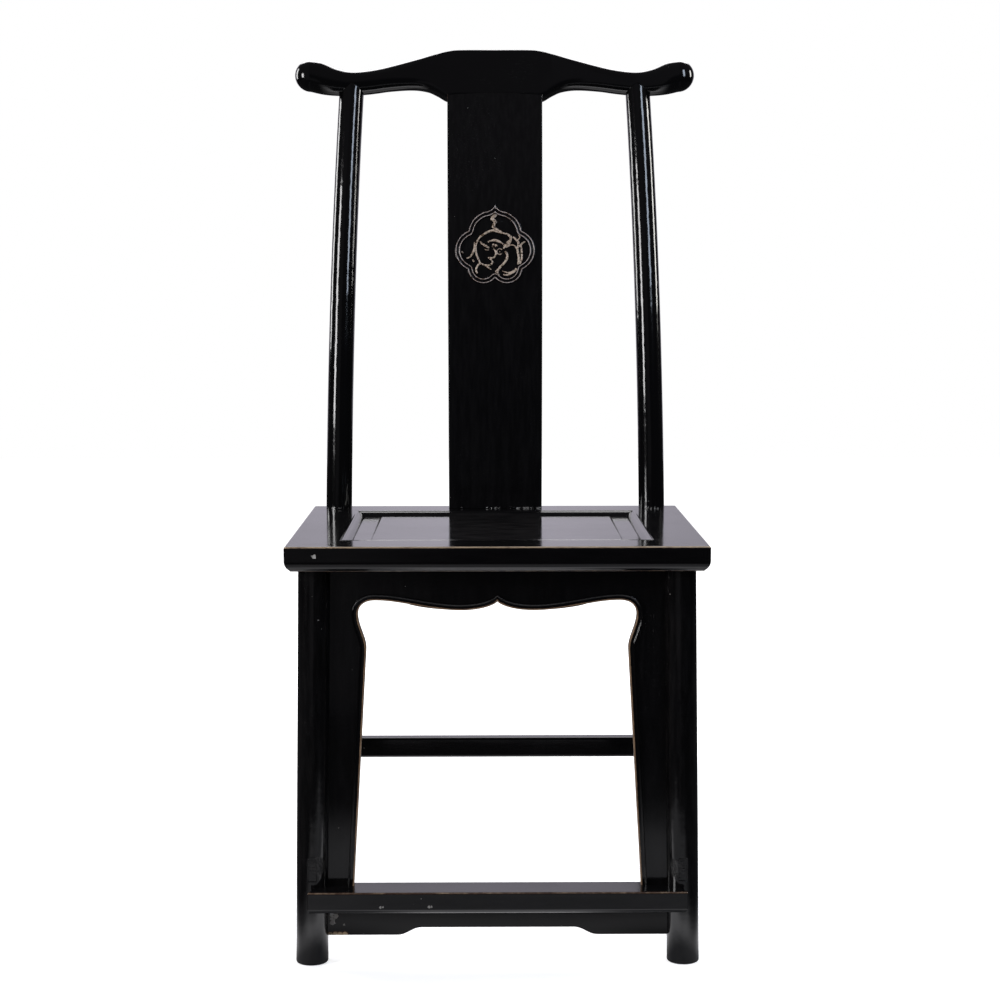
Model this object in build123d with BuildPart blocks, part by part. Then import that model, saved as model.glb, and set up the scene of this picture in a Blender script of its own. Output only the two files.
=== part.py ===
from build123d import *
from math import asin, cos, radians, sin
import os

# Official's hat chair without arms: a yoke-back side chair in lacquered wood.
# Millimetres. X runs across the chair, the sitter faces -Y, Z is up and the floor is Z = 0.
# The origin is on the floor, midway between the seat's front edge and the crest rail's back.

# ---- seat frame ----
seat_width = 500.0
seat_depth = 450.0
seat_height = 510.0
seat_thickness = 30.0
rail_flat_width = 62.0          # flat top of a frame rail, from the outer edge to the bead
rail_bead_width = 3.5
rail_bead_crown = 0.3           # above the flat
rail_slope_width = 7.5          # convex strip that falls from the bead to the panel
panel_sink = 7.0                # panel border below the rail's top
edge_vertical = 14.5            # straight part of the seat's outer edge
edge_undercut = 7.0             # how far the edge curves in below it
edge_round = 2.5

# ---- seat panel and battens ----
panel_thickness = 12.0
panel_tongue = 6.0              # how far the tongue enters its groove
panel_tongue_thickness = 5.0
panel_tongue_drop = 4.0         # below the panel's border
panel_border = 22.0
field_raise = 2.5
field_bevel = 3.0
batten_width = 22.0
batten_spacing = 170.0
batten_height = 8.5             # part of a batten below the panel
batten_key = 4.0                # dovetail key let into the panel
batten_key_flare = 2.0
batten_tenon = 10.0
batten_tenon_width = 12.0
batten_tenon_thickness = 5.0
batten_tenon_shoulder = 1.0     # below the batten's top

# ---- seat frame corners ----
corner_tenon_width = 9.0
corner_tenon_thickness = 8.0
corner_tenon_length = 40.0
corner_tenon_inset = 7.0        # from the frame's inner corner
corner_tenon_height = 4.5       # above the frame's underside

# ---- front legs ----
leg_diameter = 39.0
front_foot_inset = 25.6         # leg axis in from the seat's side, at the floor
front_leg_top_inset = 33.0
front_leg_setback = 37.0        # leg axis behind the seat's front edge
leg_tenon_side = 16.0
leg_tenon_height = 18.0
foot_round = 2.5

# ---- rear legs, which run on up as the back posts ----
rear_foot_inset = 26.0          # leg axis in from the seat's side, at the floor
rear_leg_seat_inset = 36.1
post_top_inset = 54.3
post_bow = 2.5                  # the post swells outward this much half way up
rear_leg_setback = 28.0         # post axis in front of the seat's back edge
post_seat_diameter = 35.0
post_top_diameter = 33.4
upright_run = 20.0              # the post stays plumb this far above the seat
lower_bend_run = 250.0          # height of the first, slow bend
upper_bend_run = 294.0          # height of the second bend, up to the crest
lower_lean = radians(4.0)
upper_lean = radians(13.0)
post_root = 10.0                # the post's blank starts this far inside the lower leg
post_overrun = 12.0             # and ends this far inside the crest, before it is coped
post_tenon_diameter = 20.0
post_tenon_height = 22.0

# ---- splat ----
splat_bottom_width = 126.5
splat_top_width = 129.5
splat_thickness = 11.0
splat_forward = 3.5             # splat's middle in front of the post axis
splat_tenon_thickness = 6.0
splat_tenon_shoulder = 14.0
splat_tenon_length = 12.0

# ---- medallion carved on the splat ----
medallion_height = 358.0        # centre above the seat's top
medallion_half_width = 54.0
medallion_top = 54.0            # tip of the ogee above the centre
medallion_bottom = 53.5         # bottom lobes below the centre
medallion_rim = 5.2
medallion_rim_raise = 1.5
medallion_ground_sink = 2.0

# ---- crest rail ----
crest_overhang = 77.0           # each tip beyond a post's axis
crest_rise = 61.5               # middle of its top above the post shoulder line
crest_drop = 7.3                # middle of its underside below that line
crest_wing_top = 30.3           # at the posts
crest_arch_bottom = 7.6         # underside above the line, between the splat and a post
crest_wing_bottom = 2.0         # underside below the line, at the posts
crest_ball_diameter = 42.0
crest_ball_height = 23.5        # ball's centre above the post shoulder line
crest_middle_depth = 30.0
crest_wing_depth = 34.0
crest_bow = 6.0                 # its middle lies this far behind the posts
crest_middle_round = 7.0
crest_facet_drop = 23.0         # height of the headrest facet
crest_facet_lean = 7.0

# ---- front opening ----
board_thickness = 9.0
board_housing = 6.0             # how far a board enters a leg's groove
board_tongue = 3.0              # how far it enters a rail's groove
opening_cusp_drop = 39.7        # below the seat frame
opening_low_drop = 49.7
opening_high_drop = 37.7
opening_corner_drop = 55.0
opening_neck_drop = 97.0
opening_low_x = 38.0
opening_high_inset = 105.0      # from the seat's side
opening_corner_inset = 83.8
opening_neck_inset = 93.5
opening_foot_inset = 77.0
bead_width = 7.0
bead_raise = 1.5

# ---- foot rail and its apron ----
foot_rail_bottom = 69.0
foot_rail_height = 26.0
foot_rail_forward = 17.0        # its face in front of the legs' front
foot_rail_depth = 44.0
foot_rail_end_inset = 23.5      # from the seat's side
foot_rail_end_bevel = 7.5
foot_rail_top_round = 2.0
foot_rail_bottom_round = 5.5
foot_tenon_length = 14.0
foot_tenon_height = 16.0
foot_apron_end_height = 35.3
foot_apron_middle_height = 26.0
foot_apron_step_outer_inset = 128.5     # from the seat's side
foot_apron_step_inner_inset = 159.0

# ---- stretchers ----
side_stretcher_bottom = 104.0
side_stretcher_height = 27.0
side_stretcher_width = 22.0
rear_stretcher_bottom = 164.0
rear_stretcher_height = 27.5
rear_stretcher_width = 20.0
stretcher_tenon_thickness = 10.0
stretcher_round = 3.0
tenon_root = 3.0                # a tenon's block starts this far inside its own piece
rear_tenon_length = 15.0
rear_tenon_height = 20.0

# ---- side and rear aprons ----
apron_height = 45.0
spandrel_height = 48.0
spandrel_width = 24.0
spandrel_tip = 9.0

# ---- bamboo pegs ----
peg_diameter = 4.0
frame_peg_length = 18.0
crest_peg_depth = 25.0
crest_peg_recess = 0.3

# ---- fits ----
joint_clearance = 0.1           # cheeks of tenons, grooves and peg holes
end_clearance = 0.5             # beyond a tenon's end and round the floating panel
overcut = 1.0                   # how far a cutting shape runs past the face it opens

# ---- places across the chair, which follow the seat's width ----
seat_side_x = seat_width / 2.0
front_foot_x = seat_side_x - front_foot_inset
front_leg_top_x = seat_side_x - front_leg_top_inset
rear_foot_x = seat_side_x - rear_foot_inset
rear_leg_seat_x = seat_side_x - rear_leg_seat_inset
post_top_x = seat_side_x - post_top_inset
crest_tip_x = post_top_x + crest_overhang
opening_high_x = seat_side_x - opening_high_inset
opening_corner_x = seat_side_x - opening_corner_inset
opening_neck_x = seat_side_x - opening_neck_inset
opening_foot_x = seat_side_x - opening_foot_inset
foot_rail_half_length = seat_side_x - foot_rail_end_inset
foot_apron_step_outer_x = seat_side_x - foot_apron_step_outer_inset
foot_apron_step_inner_x = seat_side_x - foot_apron_step_inner_inset

# ---- the leaning line that the posts and the splat follow, in the YZ plane ----
frame_bottom = seat_height - seat_thickness
lean_start = seat_height + upright_run
lean_middle = lean_start + lower_bend_run
lean_top = lean_middle + upper_bend_run
lower_bend_radius = lower_bend_run / sin(lower_lean)
upper_bend_radius = upper_bend_run / (sin(upper_lean) - sin(lower_lean))
lower_lean_shift = lower_bend_radius * (1.0 - cos(lower_lean))
upper_lean_shift = lower_lean_shift + upper_bend_radius * (cos(lower_lean) - cos(upper_lean))

# The crest's rearmost point sets the overall depth.
crest_back_reach = (
    upper_lean_shift
    + crest_middle_round
    + (crest_rise - crest_middle_round) * sin(upper_lean)
    + (crest_bow + crest_middle_depth / 2.0 - crest_middle_round) * cos(upper_lean)
)
overall_depth = seat_depth - rear_leg_setback + crest_back_reach
seat_front_y = -overall_depth / 2.0
seat_back_y = seat_front_y + seat_depth
seat_middle_y = seat_front_y + seat_depth / 2.0
front_leg_y = seat_front_y + front_leg_setback
rear_leg_y = seat_back_y - rear_leg_setback
leg_radius = leg_diameter / 2.0
rail_width = rail_flat_width + rail_bead_width + rail_slope_width


def between(start, end, share):
    """The value a share of the way from start to end."""
    return start + (end - start) * share


def lean_at(height):
    """How far the leaning line lies behind the post's foot, and its angle, at a height."""
    if height <= lean_start:
        return 0.0, 0.0
    if height <= lean_middle:
        angle = asin((height - lean_start) / lower_bend_radius)
        return lower_bend_radius * (1.0 - cos(angle)), angle
    angle = asin(sin(lower_lean) + (height - lean_middle) / upper_bend_radius)
    return lower_lean_shift + upper_bend_radius * (cos(lower_lean) - cos(angle)), angle


def back_point(height, behind):
    """A (Y, Z) point behind the leaning line, measured square to it."""
    shift, angle = lean_at(height)
    return (rear_leg_y + shift + behind * cos(angle), height - behind * sin(angle))


def front_leg_x(height):
    """X of a front leg's axis: the legs splay towards the floor."""
    return between(front_foot_x, front_leg_top_x, height / frame_bottom)


def rear_leg_x(height):
    """X of a rear leg's axis, from the floor to the crest."""
    if height <= seat_height:
        return between(rear_foot_x, rear_leg_seat_x, height / seat_height)
    share = (height - seat_height) / (lean_top - seat_height)
    return between(rear_leg_seat_x, post_top_x, share) + 4.0 * post_bow * share * (1.0 - share)


def lean_plane(height, behind=0.0):
    """Plane square to the leaning line's normal: X across, Y up along the line, facing forward."""
    angle = lean_at(height)[1]
    y, z = back_point(height, behind)
    return Plane(origin=(0, y, z), x_dir=(1, 0, 0), z_dir=(0, -cos(angle), sin(angle)))


def block(x_low, x_high, y_low, y_high, z_low, z_high, mode=Mode.ADD):
    """A box between two corners, in the part being built."""
    middle = ((x_low + x_high) / 2.0, (y_low + y_high) / 2.0, (z_low + z_high) / 2.0)
    with Locations(middle):
        Box(abs(x_high - x_low), y_high - y_low, z_high - z_low, mode=mode)


def save(part, name):
    """Label a finished piece and write it."""
    part.label = name
    export_step(part, f"parts/{name}.step")


# ---- leg blanks, before any joint is cut ----
def leg_blank(side, x_at, y):
    """The round lower part of a leg, from the floor to the seat frame."""
    with BuildPart() as blank:
        sections = []
        for height in (0.0, frame_bottom):
            with BuildSketch(Plane.XY.offset(height)) as section:
                with Locations((side * x_at(height), y)):
                    Circle(leg_radius)
            sections.append(section.sketch)
        loft(sections, ruled=True)
        fillet(blank.edges().group_by(Axis.Z)[0], foot_round)
    return blank.part


def post_section(side, height):
    share = max(0.0, (height - seat_height) / (lean_top - seat_height))
    diameter = between(post_seat_diameter, post_top_diameter, share)
    shift, angle = lean_at(height)
    centre = (side * rear_leg_x(height), rear_leg_y + shift, height)
    square_to_lean = Plane(origin=centre, x_dir=(1, 0, 0), z_dir=(0, sin(angle), cos(angle)))
    with BuildSketch(square_to_lean) as section:
        Circle(diameter / 2.0)
    return section.sketch


def post_blank(side):
    """The round post from inside the lower leg up into the crest."""
    heights = [seat_height, lean_start]
    heights += [between(lean_start, lean_middle, share) for share in (0.33, 0.67, 1.0)]
    heights += [between(lean_middle, lean_top, share) for share in (0.25, 0.5, 0.75, 1.0)]
    heights.append(lean_top + post_overrun)
    with BuildPart() as blank:
        lower = [post_section(side, height) for height in (frame_bottom - post_root, seat_height)]
        loft(lower, ruled=True)
        loft([post_section(side, height) for height in heights])
    return blank.part


front_blanks = {side: leg_blank(side, front_leg_x, front_leg_y) for side in (-1, 1)}
rear_blanks = {side: leg_blank(side, rear_leg_x, rear_leg_y) for side in (-1, 1)}
post_blanks = {side: post_blank(side) for side in (-1, 1)}


# ---- crest rail blank ----
crest_plane = lean_plane(lean_top)
crest_up = Vector(0, sin(upper_lean), cos(upper_lean))
crest_back = Vector(0, cos(upper_lean), -sin(upper_lean))
splat_edge_x = splat_top_width / 2.0
ball_radius = crest_ball_diameter / 2.0
ball_x = crest_tip_x - ball_radius
ball_top = crest_ball_height + ball_radius
ball_bottom = crest_ball_height - ball_radius
middle_half_depth = crest_middle_depth / 2.0
wing_half_depth = crest_wing_depth / 2.0
arch_x = between(splat_edge_x, post_top_x, 0.35)    # where the underside is highest

# Stations from the middle to a tip: X, top, bottom, half depth and corner rounding (0 square, 1 round).
crest_stations = [
    (0.0, crest_rise, -crest_drop, middle_half_depth, 0.0),
    (splat_edge_x * 0.78, crest_rise - 0.2, -crest_drop, middle_half_depth, 0.0),
    (splat_edge_x, crest_rise - 2.2, -crest_drop, middle_half_depth, 0.0),
    (
        between(splat_edge_x, arch_x, 0.3),
        between(crest_rise, crest_wing_top, 0.19),
        between(-crest_drop, crest_arch_bottom, 0.5),
        between(middle_half_depth, wing_half_depth, 0.15),
        0.15,
    ),
    (
        between(splat_edge_x, arch_x, 0.57),
        between(crest_rise, crest_wing_top, 0.29),
        between(-crest_drop, crest_arch_bottom, 0.85),
        between(middle_half_depth, wing_half_depth, 0.3),
        0.35,
    ),
    (
        arch_x,
        between(crest_rise, crest_wing_top, 0.45),
        crest_arch_bottom,
        between(middle_half_depth, wing_half_depth, 0.5),
        0.6,
    ),
    (
        between(arch_x, post_top_x, 0.35),
        between(crest_rise, crest_wing_top, 0.7),
        between(crest_arch_bottom, -crest_wing_bottom, 0.25),
        between(middle_half_depth, wing_half_depth, 0.8),
        0.85,
    ),
    (
        between(arch_x, post_top_x, 0.68),
        between(crest_rise, crest_wing_top, 0.91),
        between(crest_arch_bottom, -crest_wing_bottom, 0.7),
        wing_half_depth,
        1.0,
    ),
    (post_top_x, crest_wing_top, -crest_wing_bottom, wing_half_depth, 1.0),
    (
        between(post_top_x, ball_x, 0.36),
        between(crest_wing_top, ball_top, 0.28),
        between(-crest_wing_bottom, ball_bottom, -0.1),
        between(wing_half_depth, ball_radius, 0.3),
        1.0,
    ),
    (
        between(post_top_x, ball_x, 0.71),
        between(crest_wing_top, ball_top, 0.83),
        between(-crest_wing_bottom, ball_bottom, 0.22),
        between(wing_half_depth, ball_radius, 0.8),
        1.0,
    ),
]
ball_turns = (0.0, 15.0, 30.0, 43.0, 55.0, 66.0, 75.0, 82.0)


def smooth_station(index, share):
    """Station between two rows of the list, on a smooth curve through their neighbours."""
    low, high = crest_stations[index : index + 2]
    before = crest_stations[max(index - 1, 0)]
    after = crest_stations[min(index + 2, len(crest_stations) - 1)]
    step = high[0] - low[0]
    values = []
    for column in range(len(low)):
        slope_low = (high[column] - before[column]) / (high[0] - before[0])
        slope_high = (after[column] - low[column]) / (after[0] - low[0])
        value = (
            low[column] * (2.0 * share**3 - 3.0 * share**2 + 1.0)
            + high[column] * (3.0 * share**2 - 2.0 * share**3)
            + slope_low * step * (share**3 - 2.0 * share**2 + share)
            + slope_high * step * (share**3 - share**2)
        )
        values.append(value)
    return tuple(values)


def ball_station(turn):
    """Station on the ball at the crest's tip, turned this far from its equator."""
    rise = ball_radius * cos(radians(turn))
    x = ball_x + ball_radius * sin(radians(turn))
    return (x, crest_ball_height + rise, crest_ball_height - rise, rise, 1.0)


crest_stations.append(ball_station(ball_turns[0]))
spans = range(len(crest_stations) - 1)
fine_stations = [smooth_station(index, share) for index in spans for share in (0.0, 0.5)]
fine_stations += [ball_station(turn) for turn in ball_turns]
all_stations = [(-station[0], *station[1:]) for station in reversed(fine_stations[1:])]
all_stations += fine_stations


def crest_section(x, top, bottom, half_depth, rounding):
    """One cross-section of the crest, square to X."""
    behind = crest_bow * (1.0 - (x / post_top_x) ** 2)
    centre = crest_plane.origin + crest_up * ((top + bottom) / 2.0) + crest_back * behind
    centre.X = x
    half_height = (top - bottom) / 2.0
    round_radius = 0.96 * min(half_depth, half_height)
    corner = between(min(crest_middle_round, round_radius), round_radius, rounding)
    with BuildSketch(Plane(origin=centre, x_dir=crest_back, z_dir=(1, 0, 0))) as section:
        RectangleRounded(2.0 * half_depth, 2.0 * half_height, corner)
    return section.sketch


def crest_blank():
    with BuildPart() as blank:
        loft([crest_section(*station) for station in all_stations], ruled=True)
        # The headrest's upper band leans back from the front face.
        front = crest_bow - middle_half_depth
        facet_start = crest_rise - crest_facet_drop
        facet_back = front + crest_facet_lean * (crest_facet_drop + overcut) / crest_facet_drop
        with BuildSketch(Plane(origin=crest_plane.origin, x_dir=crest_back, z_dir=(1, 0, 0))):
            with BuildLine():
                Polyline(
                    (front, facet_start), (facet_back, crest_rise + overcut),
                    (front - crest_bow, crest_rise + overcut), (front - crest_bow, facet_start),
                    close=True,
                )
            make_face()
        extrude(amount=arch_x, both=True, mode=Mode.SUBTRACT)
    return blank.part


crest_body = crest_blank()
crest_post_middle = (crest_wing_top - crest_wing_bottom) / 2.0


def post_joint_plane(side, up):
    """Plane square to a post's top, at a height along it above the shoulder line."""
    centre = crest_plane.origin + crest_up * up
    centre.X = side * post_top_x
    return Plane(origin=centre, x_dir=(1, 0, 0), z_dir=crest_up)


def crest_peg_plane(side, behind):
    """Plane facing backward through a post tenon, at a depth behind the post's axis."""
    centre = crest_plane.origin + crest_up * crest_post_middle + crest_back * behind
    centre.X = side * post_top_x
    return Plane(origin=centre, x_dir=(1, 0, 0), z_dir=crest_back)


def crest_peg_hole(side):
    with BuildSketch(crest_peg_plane(side, wing_half_depth + end_clearance)) as hole:
        Circle(peg_diameter / 2.0 + joint_clearance)
    extrude(hole.sketch, amount=-(crest_peg_depth + 2.0 * end_clearance), mode=Mode.SUBTRACT)


# ---- splat ----
def lean_band(height_low, height_high, front, back):
    """Closed outline in the YZ plane between two lines that follow the lean, front and back of it."""
    heights = [height_low]
    heights += [bend for bend in (lean_start, lean_middle) if height_low < bend < height_high]
    heights.append(height_high)
    for low, high in zip(heights, heights[1:]):
        lean_edge(low, high, front)
        lean_edge(low, high, back)
    Line(back_point(height_low, front), back_point(height_low, back))
    Line(back_point(height_high, front), back_point(height_high, back))


def lean_edge(low, high, behind):
    if high <= lean_start:
        Line(back_point(low, behind), back_point(high, behind))
    else:
        middle = back_point((low + high) / 2.0, behind)
        ThreePointArc(back_point(low, behind), middle, back_point(high, behind))


splat_front = -splat_forward - splat_thickness / 2.0
splat_back = splat_front + splat_thickness
medallion_z = seat_height + medallion_height
medallion_plane = lean_plane(medallion_z, splat_front)


def medallion_outline():
    """Lobed cartouche with an ogee tip, two side lobes and two bottom lobes."""
    width = medallion_half_width
    tip = medallion_top
    foot = medallion_bottom
    for side in (-1, 1):
        shoulder = (side * width * 0.24, tip * 0.815)
        notch = (side * width * 0.667, tip * 0.33)
        low_notch = (side * width * 0.685, -foot * 0.645)
        ThreePointArc((0, tip), (side * width * 0.085, tip * 0.88), shoulder)
        ThreePointArc(shoulder, (side * width * 0.53, tip * 0.63), notch)
        ThreePointArc(notch, (side * width, -tip * 0.155), low_notch)
        ThreePointArc(low_notch, (side * width * 0.41, -foot * 0.985), (0, -foot * 0.865))


def medallion_rim_blank():
    with BuildPart() as rim:
        with BuildSketch(medallion_plane):
            with BuildLine():
                medallion_outline()
            make_face()
            offset(amount=-medallion_rim, mode=Mode.SUBTRACT)
        extrude(amount=splat_thickness, both=True)
        with BuildSketch(Plane.YZ):
            with BuildLine():
                low = medallion_z - 2.0 * medallion_bottom
                high = medallion_z + 2.0 * medallion_top
                middle = splat_front + splat_thickness / 2.0
                lean_band(low, high, splat_front - medallion_rim_raise, middle)
            make_face()
        extrude(amount=2.0 * medallion_half_width, both=True, mode=Mode.INTERSECT)
    return rim.part


def medallion_ground_cut():
    with BuildPart() as ground:
        with BuildSketch(medallion_plane):
            with BuildLine():
                medallion_outline()
            make_face()
            offset(amount=-medallion_rim, mode=Mode.REPLACE)
        extrude(amount=splat_thickness, both=True)
        with BuildSketch(Plane.YZ):
            with BuildLine():
                low = medallion_z - 2.0 * medallion_bottom
                high = medallion_z + 2.0 * medallion_top
                lean_band(low, high, splat_front - overcut, splat_front + medallion_ground_sink)
            make_face()
        extrude(amount=2.0 * medallion_half_width, both=True, mode=Mode.INTERSECT)
    return ground.part


def splat_top_tenon(grow, mode):
    """The splat's upper tenon, or with grow its mortise."""
    half_width = splat_edge_x - splat_tenon_shoulder + grow
    with BuildSketch(crest_plane.offset(splat_forward)) as outline:
        with BuildLine():
            low = -crest_drop - splat_tenon_thickness
            high = -crest_drop + splat_tenon_length + (end_clearance if grow else 0.0)
            Polyline(
                (-half_width, low), (half_width, low),
                (half_width, high), (-half_width, high),
                close=True,
            )
        make_face()
    extrude(outline.sketch, amount=splat_tenon_thickness / 2.0 + grow, both=True, mode=mode)


def splat_bottom_tenon(grow, mode):
    """The splat's lower tenon, or with grow its mortise."""
    half_width = splat_bottom_width / 2.0 - splat_tenon_shoulder + grow
    half_thickness = splat_tenon_thickness / 2.0 + grow
    middle = rear_leg_y - splat_forward
    depth = splat_tenon_length + (end_clearance if grow else 0.0)
    block(
        -half_width, half_width,
        middle - half_thickness, middle + half_thickness,
        seat_height - depth, seat_height + overcut,
        mode=mode,
    )


rim_body = medallion_rim_blank()
ground_body = medallion_ground_cut()

with BuildPart() as back_splat:
    with BuildSketch(Plane.YZ):
        with BuildLine():
            lean_band(seat_height, lean_top + post_overrun, splat_front, splat_back)
        make_face()
    extrude(amount=splat_top_width, both=True)
    with BuildSketch(Plane.XZ):
        with BuildLine():
            bottom_x = splat_bottom_width / 2.0
            # The sides run on above the crest's shoulder line at the same taper.
            top_z = lean_top + 2.0 * post_overrun
            run = (top_z - seat_height) / (lean_top - seat_height)
            top_x = between(bottom_x, splat_edge_x, run)
            Polyline(
                (-bottom_x, seat_height), (bottom_x, seat_height),
                (top_x, top_z), (-top_x, top_z),
                close=True,
            )
        make_face()
    extrude(amount=2.0 * overall_depth, both=True, mode=Mode.INTERSECT)
    add(ground_body, mode=Mode.SUBTRACT)
    add(rim_body)
    add(crest_body, mode=Mode.SUBTRACT)
    splat_top_tenon(0.0, Mode.ADD)
    splat_bottom_tenon(0.0, Mode.ADD)

# ---- crest rail ----
with BuildPart() as crest_rail:
    add(crest_body)
    for side in (-1, 1):
        with BuildSketch(post_joint_plane(side, -2.0 * post_overrun)):
            Circle(post_tenon_diameter / 2.0 + joint_clearance)
        extrude(amount=2.0 * post_overrun + post_tenon_height + end_clearance, mode=Mode.SUBTRACT)
        crest_peg_hole(side)
    splat_top_tenon(joint_clearance, Mode.SUBTRACT)

with BuildPart() as crest_pegs:
    for side in (-1, 1):
        with BuildSketch(crest_peg_plane(side, wing_half_depth - crest_peg_recess)):
            Circle(peg_diameter / 2.0)
        extrude(amount=-(crest_peg_depth - crest_peg_recess))


# ---- seat frame ----
inner_x = seat_side_x - rail_width
inner_y = seat_depth / 2.0 - rail_width
panel_border_top = seat_height - panel_sink
panel_bottom = panel_border_top - panel_thickness
tongue_top = panel_border_top - panel_tongue_drop
tongue_bottom = tongue_top - panel_tongue_thickness
corner_tenon_z = frame_bottom + corner_tenon_height
batten_tenon_z = panel_bottom - batten_tenon_shoulder - batten_tenon_thickness


def rail_profile():
    """Section of a frame rail: X outward from the frame's inner edge is negative, Z is up."""
    outer = rail_width
    bead_start = rail_slope_width + rail_bead_width
    edge_low = seat_height - edge_round - edge_vertical
    undercut_z = between(edge_low, frame_bottom, 0.88)
    groove = panel_tongue + end_clearance
    Line((bead_start, seat_height), (outer - edge_round, seat_height))
    ThreePointArc(
        (outer - edge_round, seat_height),
        (outer - 0.29 * edge_round, seat_height - 0.29 * edge_round),
        (outer, seat_height - edge_round),
    )
    Line((outer, seat_height - edge_round), (outer, edge_low))
    ThreePointArc(
        (outer, edge_low),
        (outer - 0.22 * edge_undercut, between(edge_low, frame_bottom, 0.5)),
        (outer - 0.8 * edge_undercut, undercut_z),
    )
    Polyline(
        (outer - 0.8 * edge_undercut, undercut_z),
        (outer - edge_undercut, frame_bottom),
        (0, frame_bottom),
        (0, tongue_bottom - joint_clearance),
        (groove, tongue_bottom - joint_clearance),
        (groove, tongue_top + joint_clearance),
        (0, tongue_top + joint_clearance),
        (0, panel_border_top),
    )
    slope_top = seat_height - 0.12 * panel_sink
    ThreePointArc(
        (0, panel_border_top),
        (0.4 * rail_slope_width, between(panel_border_top, slope_top, 0.55)),
        (rail_slope_width, slope_top),
    )
    ThreePointArc(
        (rail_slope_width, slope_top),
        (rail_slope_width + rail_bead_width / 2.0, seat_height + rail_bead_crown),
        (bead_start, seat_height),
    )


def rail_blank(plane, length, mitre):
    """A rail swept straight along its length and cut to the mitred outline."""
    with BuildPart() as blank:
        with BuildSketch(plane):
            with BuildLine():
                rail_profile()
            make_face()
        extrude(amount=length / 2.0, both=True)
        with BuildSketch(Plane.XY.offset(frame_bottom - overcut)):
            with BuildLine():
                Polyline(*mitre, close=True)
            make_face()
        extrude(amount=seat_thickness + 2.0 * overcut, mode=Mode.INTERSECT)
    return blank.part


def corner_tenon(x_side, y_side, grow, mode):
    """Tenon of a side rail in the front or rear rail, or with grow its mortise."""
    x_low = inner_x + corner_tenon_inset - grow
    x_high = inner_x + corner_tenon_inset + corner_tenon_width + grow
    root = inner_y + corner_tenon_inset / 2.0
    if grow:
        root = inner_y
    tip = inner_y + corner_tenon_inset / 2.0 + corner_tenon_length + (end_clearance if grow else 0.0)
    ends = sorted((seat_middle_y + y_side * root, seat_middle_y + y_side * tip))
    block(
        *sorted((x_side * x_low, x_side * x_high)),
        *ends,
        corner_tenon_z - grow, corner_tenon_z + corner_tenon_thickness + grow,
        mode=mode,
    )


def frame_peg(x_side, y_side, radius, length, mode):
    """A peg up through a corner tenon, or its hole, from the frame's underside."""
    peg_x = inner_x + corner_tenon_inset + corner_tenon_width / 2.0
    peg_y = inner_y + corner_tenon_inset + corner_tenon_width + peg_diameter
    with BuildSketch(Plane.XY.offset(frame_bottom)) as outline:
        with Locations((x_side * peg_x, seat_middle_y + y_side * peg_y)):
            Circle(radius)
    extrude(outline.sketch, amount=length, mode=mode)


def batten_tenon_block(side, y_side, grow, mode):
    """Tenon of a batten in the front or rear rail, or with grow its mortise."""
    half = batten_tenon_width / 2.0 + grow
    middle = side * batten_spacing / 2.0
    root = inner_y - (0.0 if grow else tenon_root)
    tip = inner_y + batten_tenon + (end_clearance if grow else 0.0)
    block(
        middle - half, middle + half,
        *sorted((seat_middle_y + y_side * root, seat_middle_y + y_side * tip)),
        batten_tenon_z - grow, batten_tenon_z + batten_tenon_thickness + grow,
        mode=mode,
    )


def cross_rail(y_side):
    """The front rail (y_side -1) or the rear rail (y_side 1), without leg joints."""
    outer_y = seat_middle_y + y_side * seat_depth / 2.0
    edge_y = seat_middle_y + y_side * inner_y
    mitre = [(-seat_side_x, outer_y), (seat_side_x, outer_y), (inner_x, edge_y), (-inner_x, edge_y)]
    plane = Plane(origin=(0, edge_y, 0), x_dir=(0, y_side, 0), z_dir=(y_side, 0, 0))
    with BuildPart() as rail:
        add(rail_blank(plane, seat_width, mitre))
        for x_side in (-1, 1):
            corner_tenon(x_side, y_side, joint_clearance, Mode.SUBTRACT)
            hole = peg_diameter / 2.0 + joint_clearance
            frame_peg(x_side, y_side, hole, frame_peg_length + end_clearance, Mode.SUBTRACT)
            batten_tenon_block(x_side, y_side, joint_clearance, Mode.SUBTRACT)
    return rail.part


def side_rail(side):
    """A side rail with its two corner tenons, without leg joints."""
    outer_x = side * seat_side_x
    edge_x = side * inner_x
    mitre = [
        (outer_x, seat_front_y), (outer_x, seat_back_y),
        (edge_x, seat_middle_y + inner_y), (edge_x, seat_middle_y - inner_y),
    ]
    plane = Plane(origin=(edge_x, seat_middle_y, 0), x_dir=(side, 0, 0), z_dir=(0, -side, 0))
    with BuildPart() as rail:
        add(rail_blank(plane, seat_depth, mitre))
        for y_side in (-1, 1):
            corner_tenon(side, y_side, 0.0, Mode.ADD)
            hole = peg_diameter / 2.0 + joint_clearance
            frame_peg(side, y_side, hole, seat_thickness, Mode.SUBTRACT)
    return rail.part


def front_leg_mortise(side):
    """Socket in the seat frame for a front leg's top tenon."""
    half = leg_tenon_side / 2.0 + joint_clearance
    block(
        side * front_leg_top_x - half, side * front_leg_top_x + half,
        front_leg_y - half, front_leg_y + half,
        frame_bottom, frame_bottom + leg_tenon_height + end_clearance,
        mode=Mode.SUBTRACT,
    )


def post_hole(side):
    """Hole through the seat frame for a rear leg."""
    sections = []
    for height in (frame_bottom - overcut, seat_height + overcut):
        with BuildSketch(Plane.XY.offset(height)) as section:
            with Locations((side * rear_leg_x(height), rear_leg_y)):
                Circle(post_seat_diameter / 2.0 + joint_clearance)
        sections.append(section.sketch)
    loft(sections, ruled=True, mode=Mode.SUBTRACT)


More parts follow.
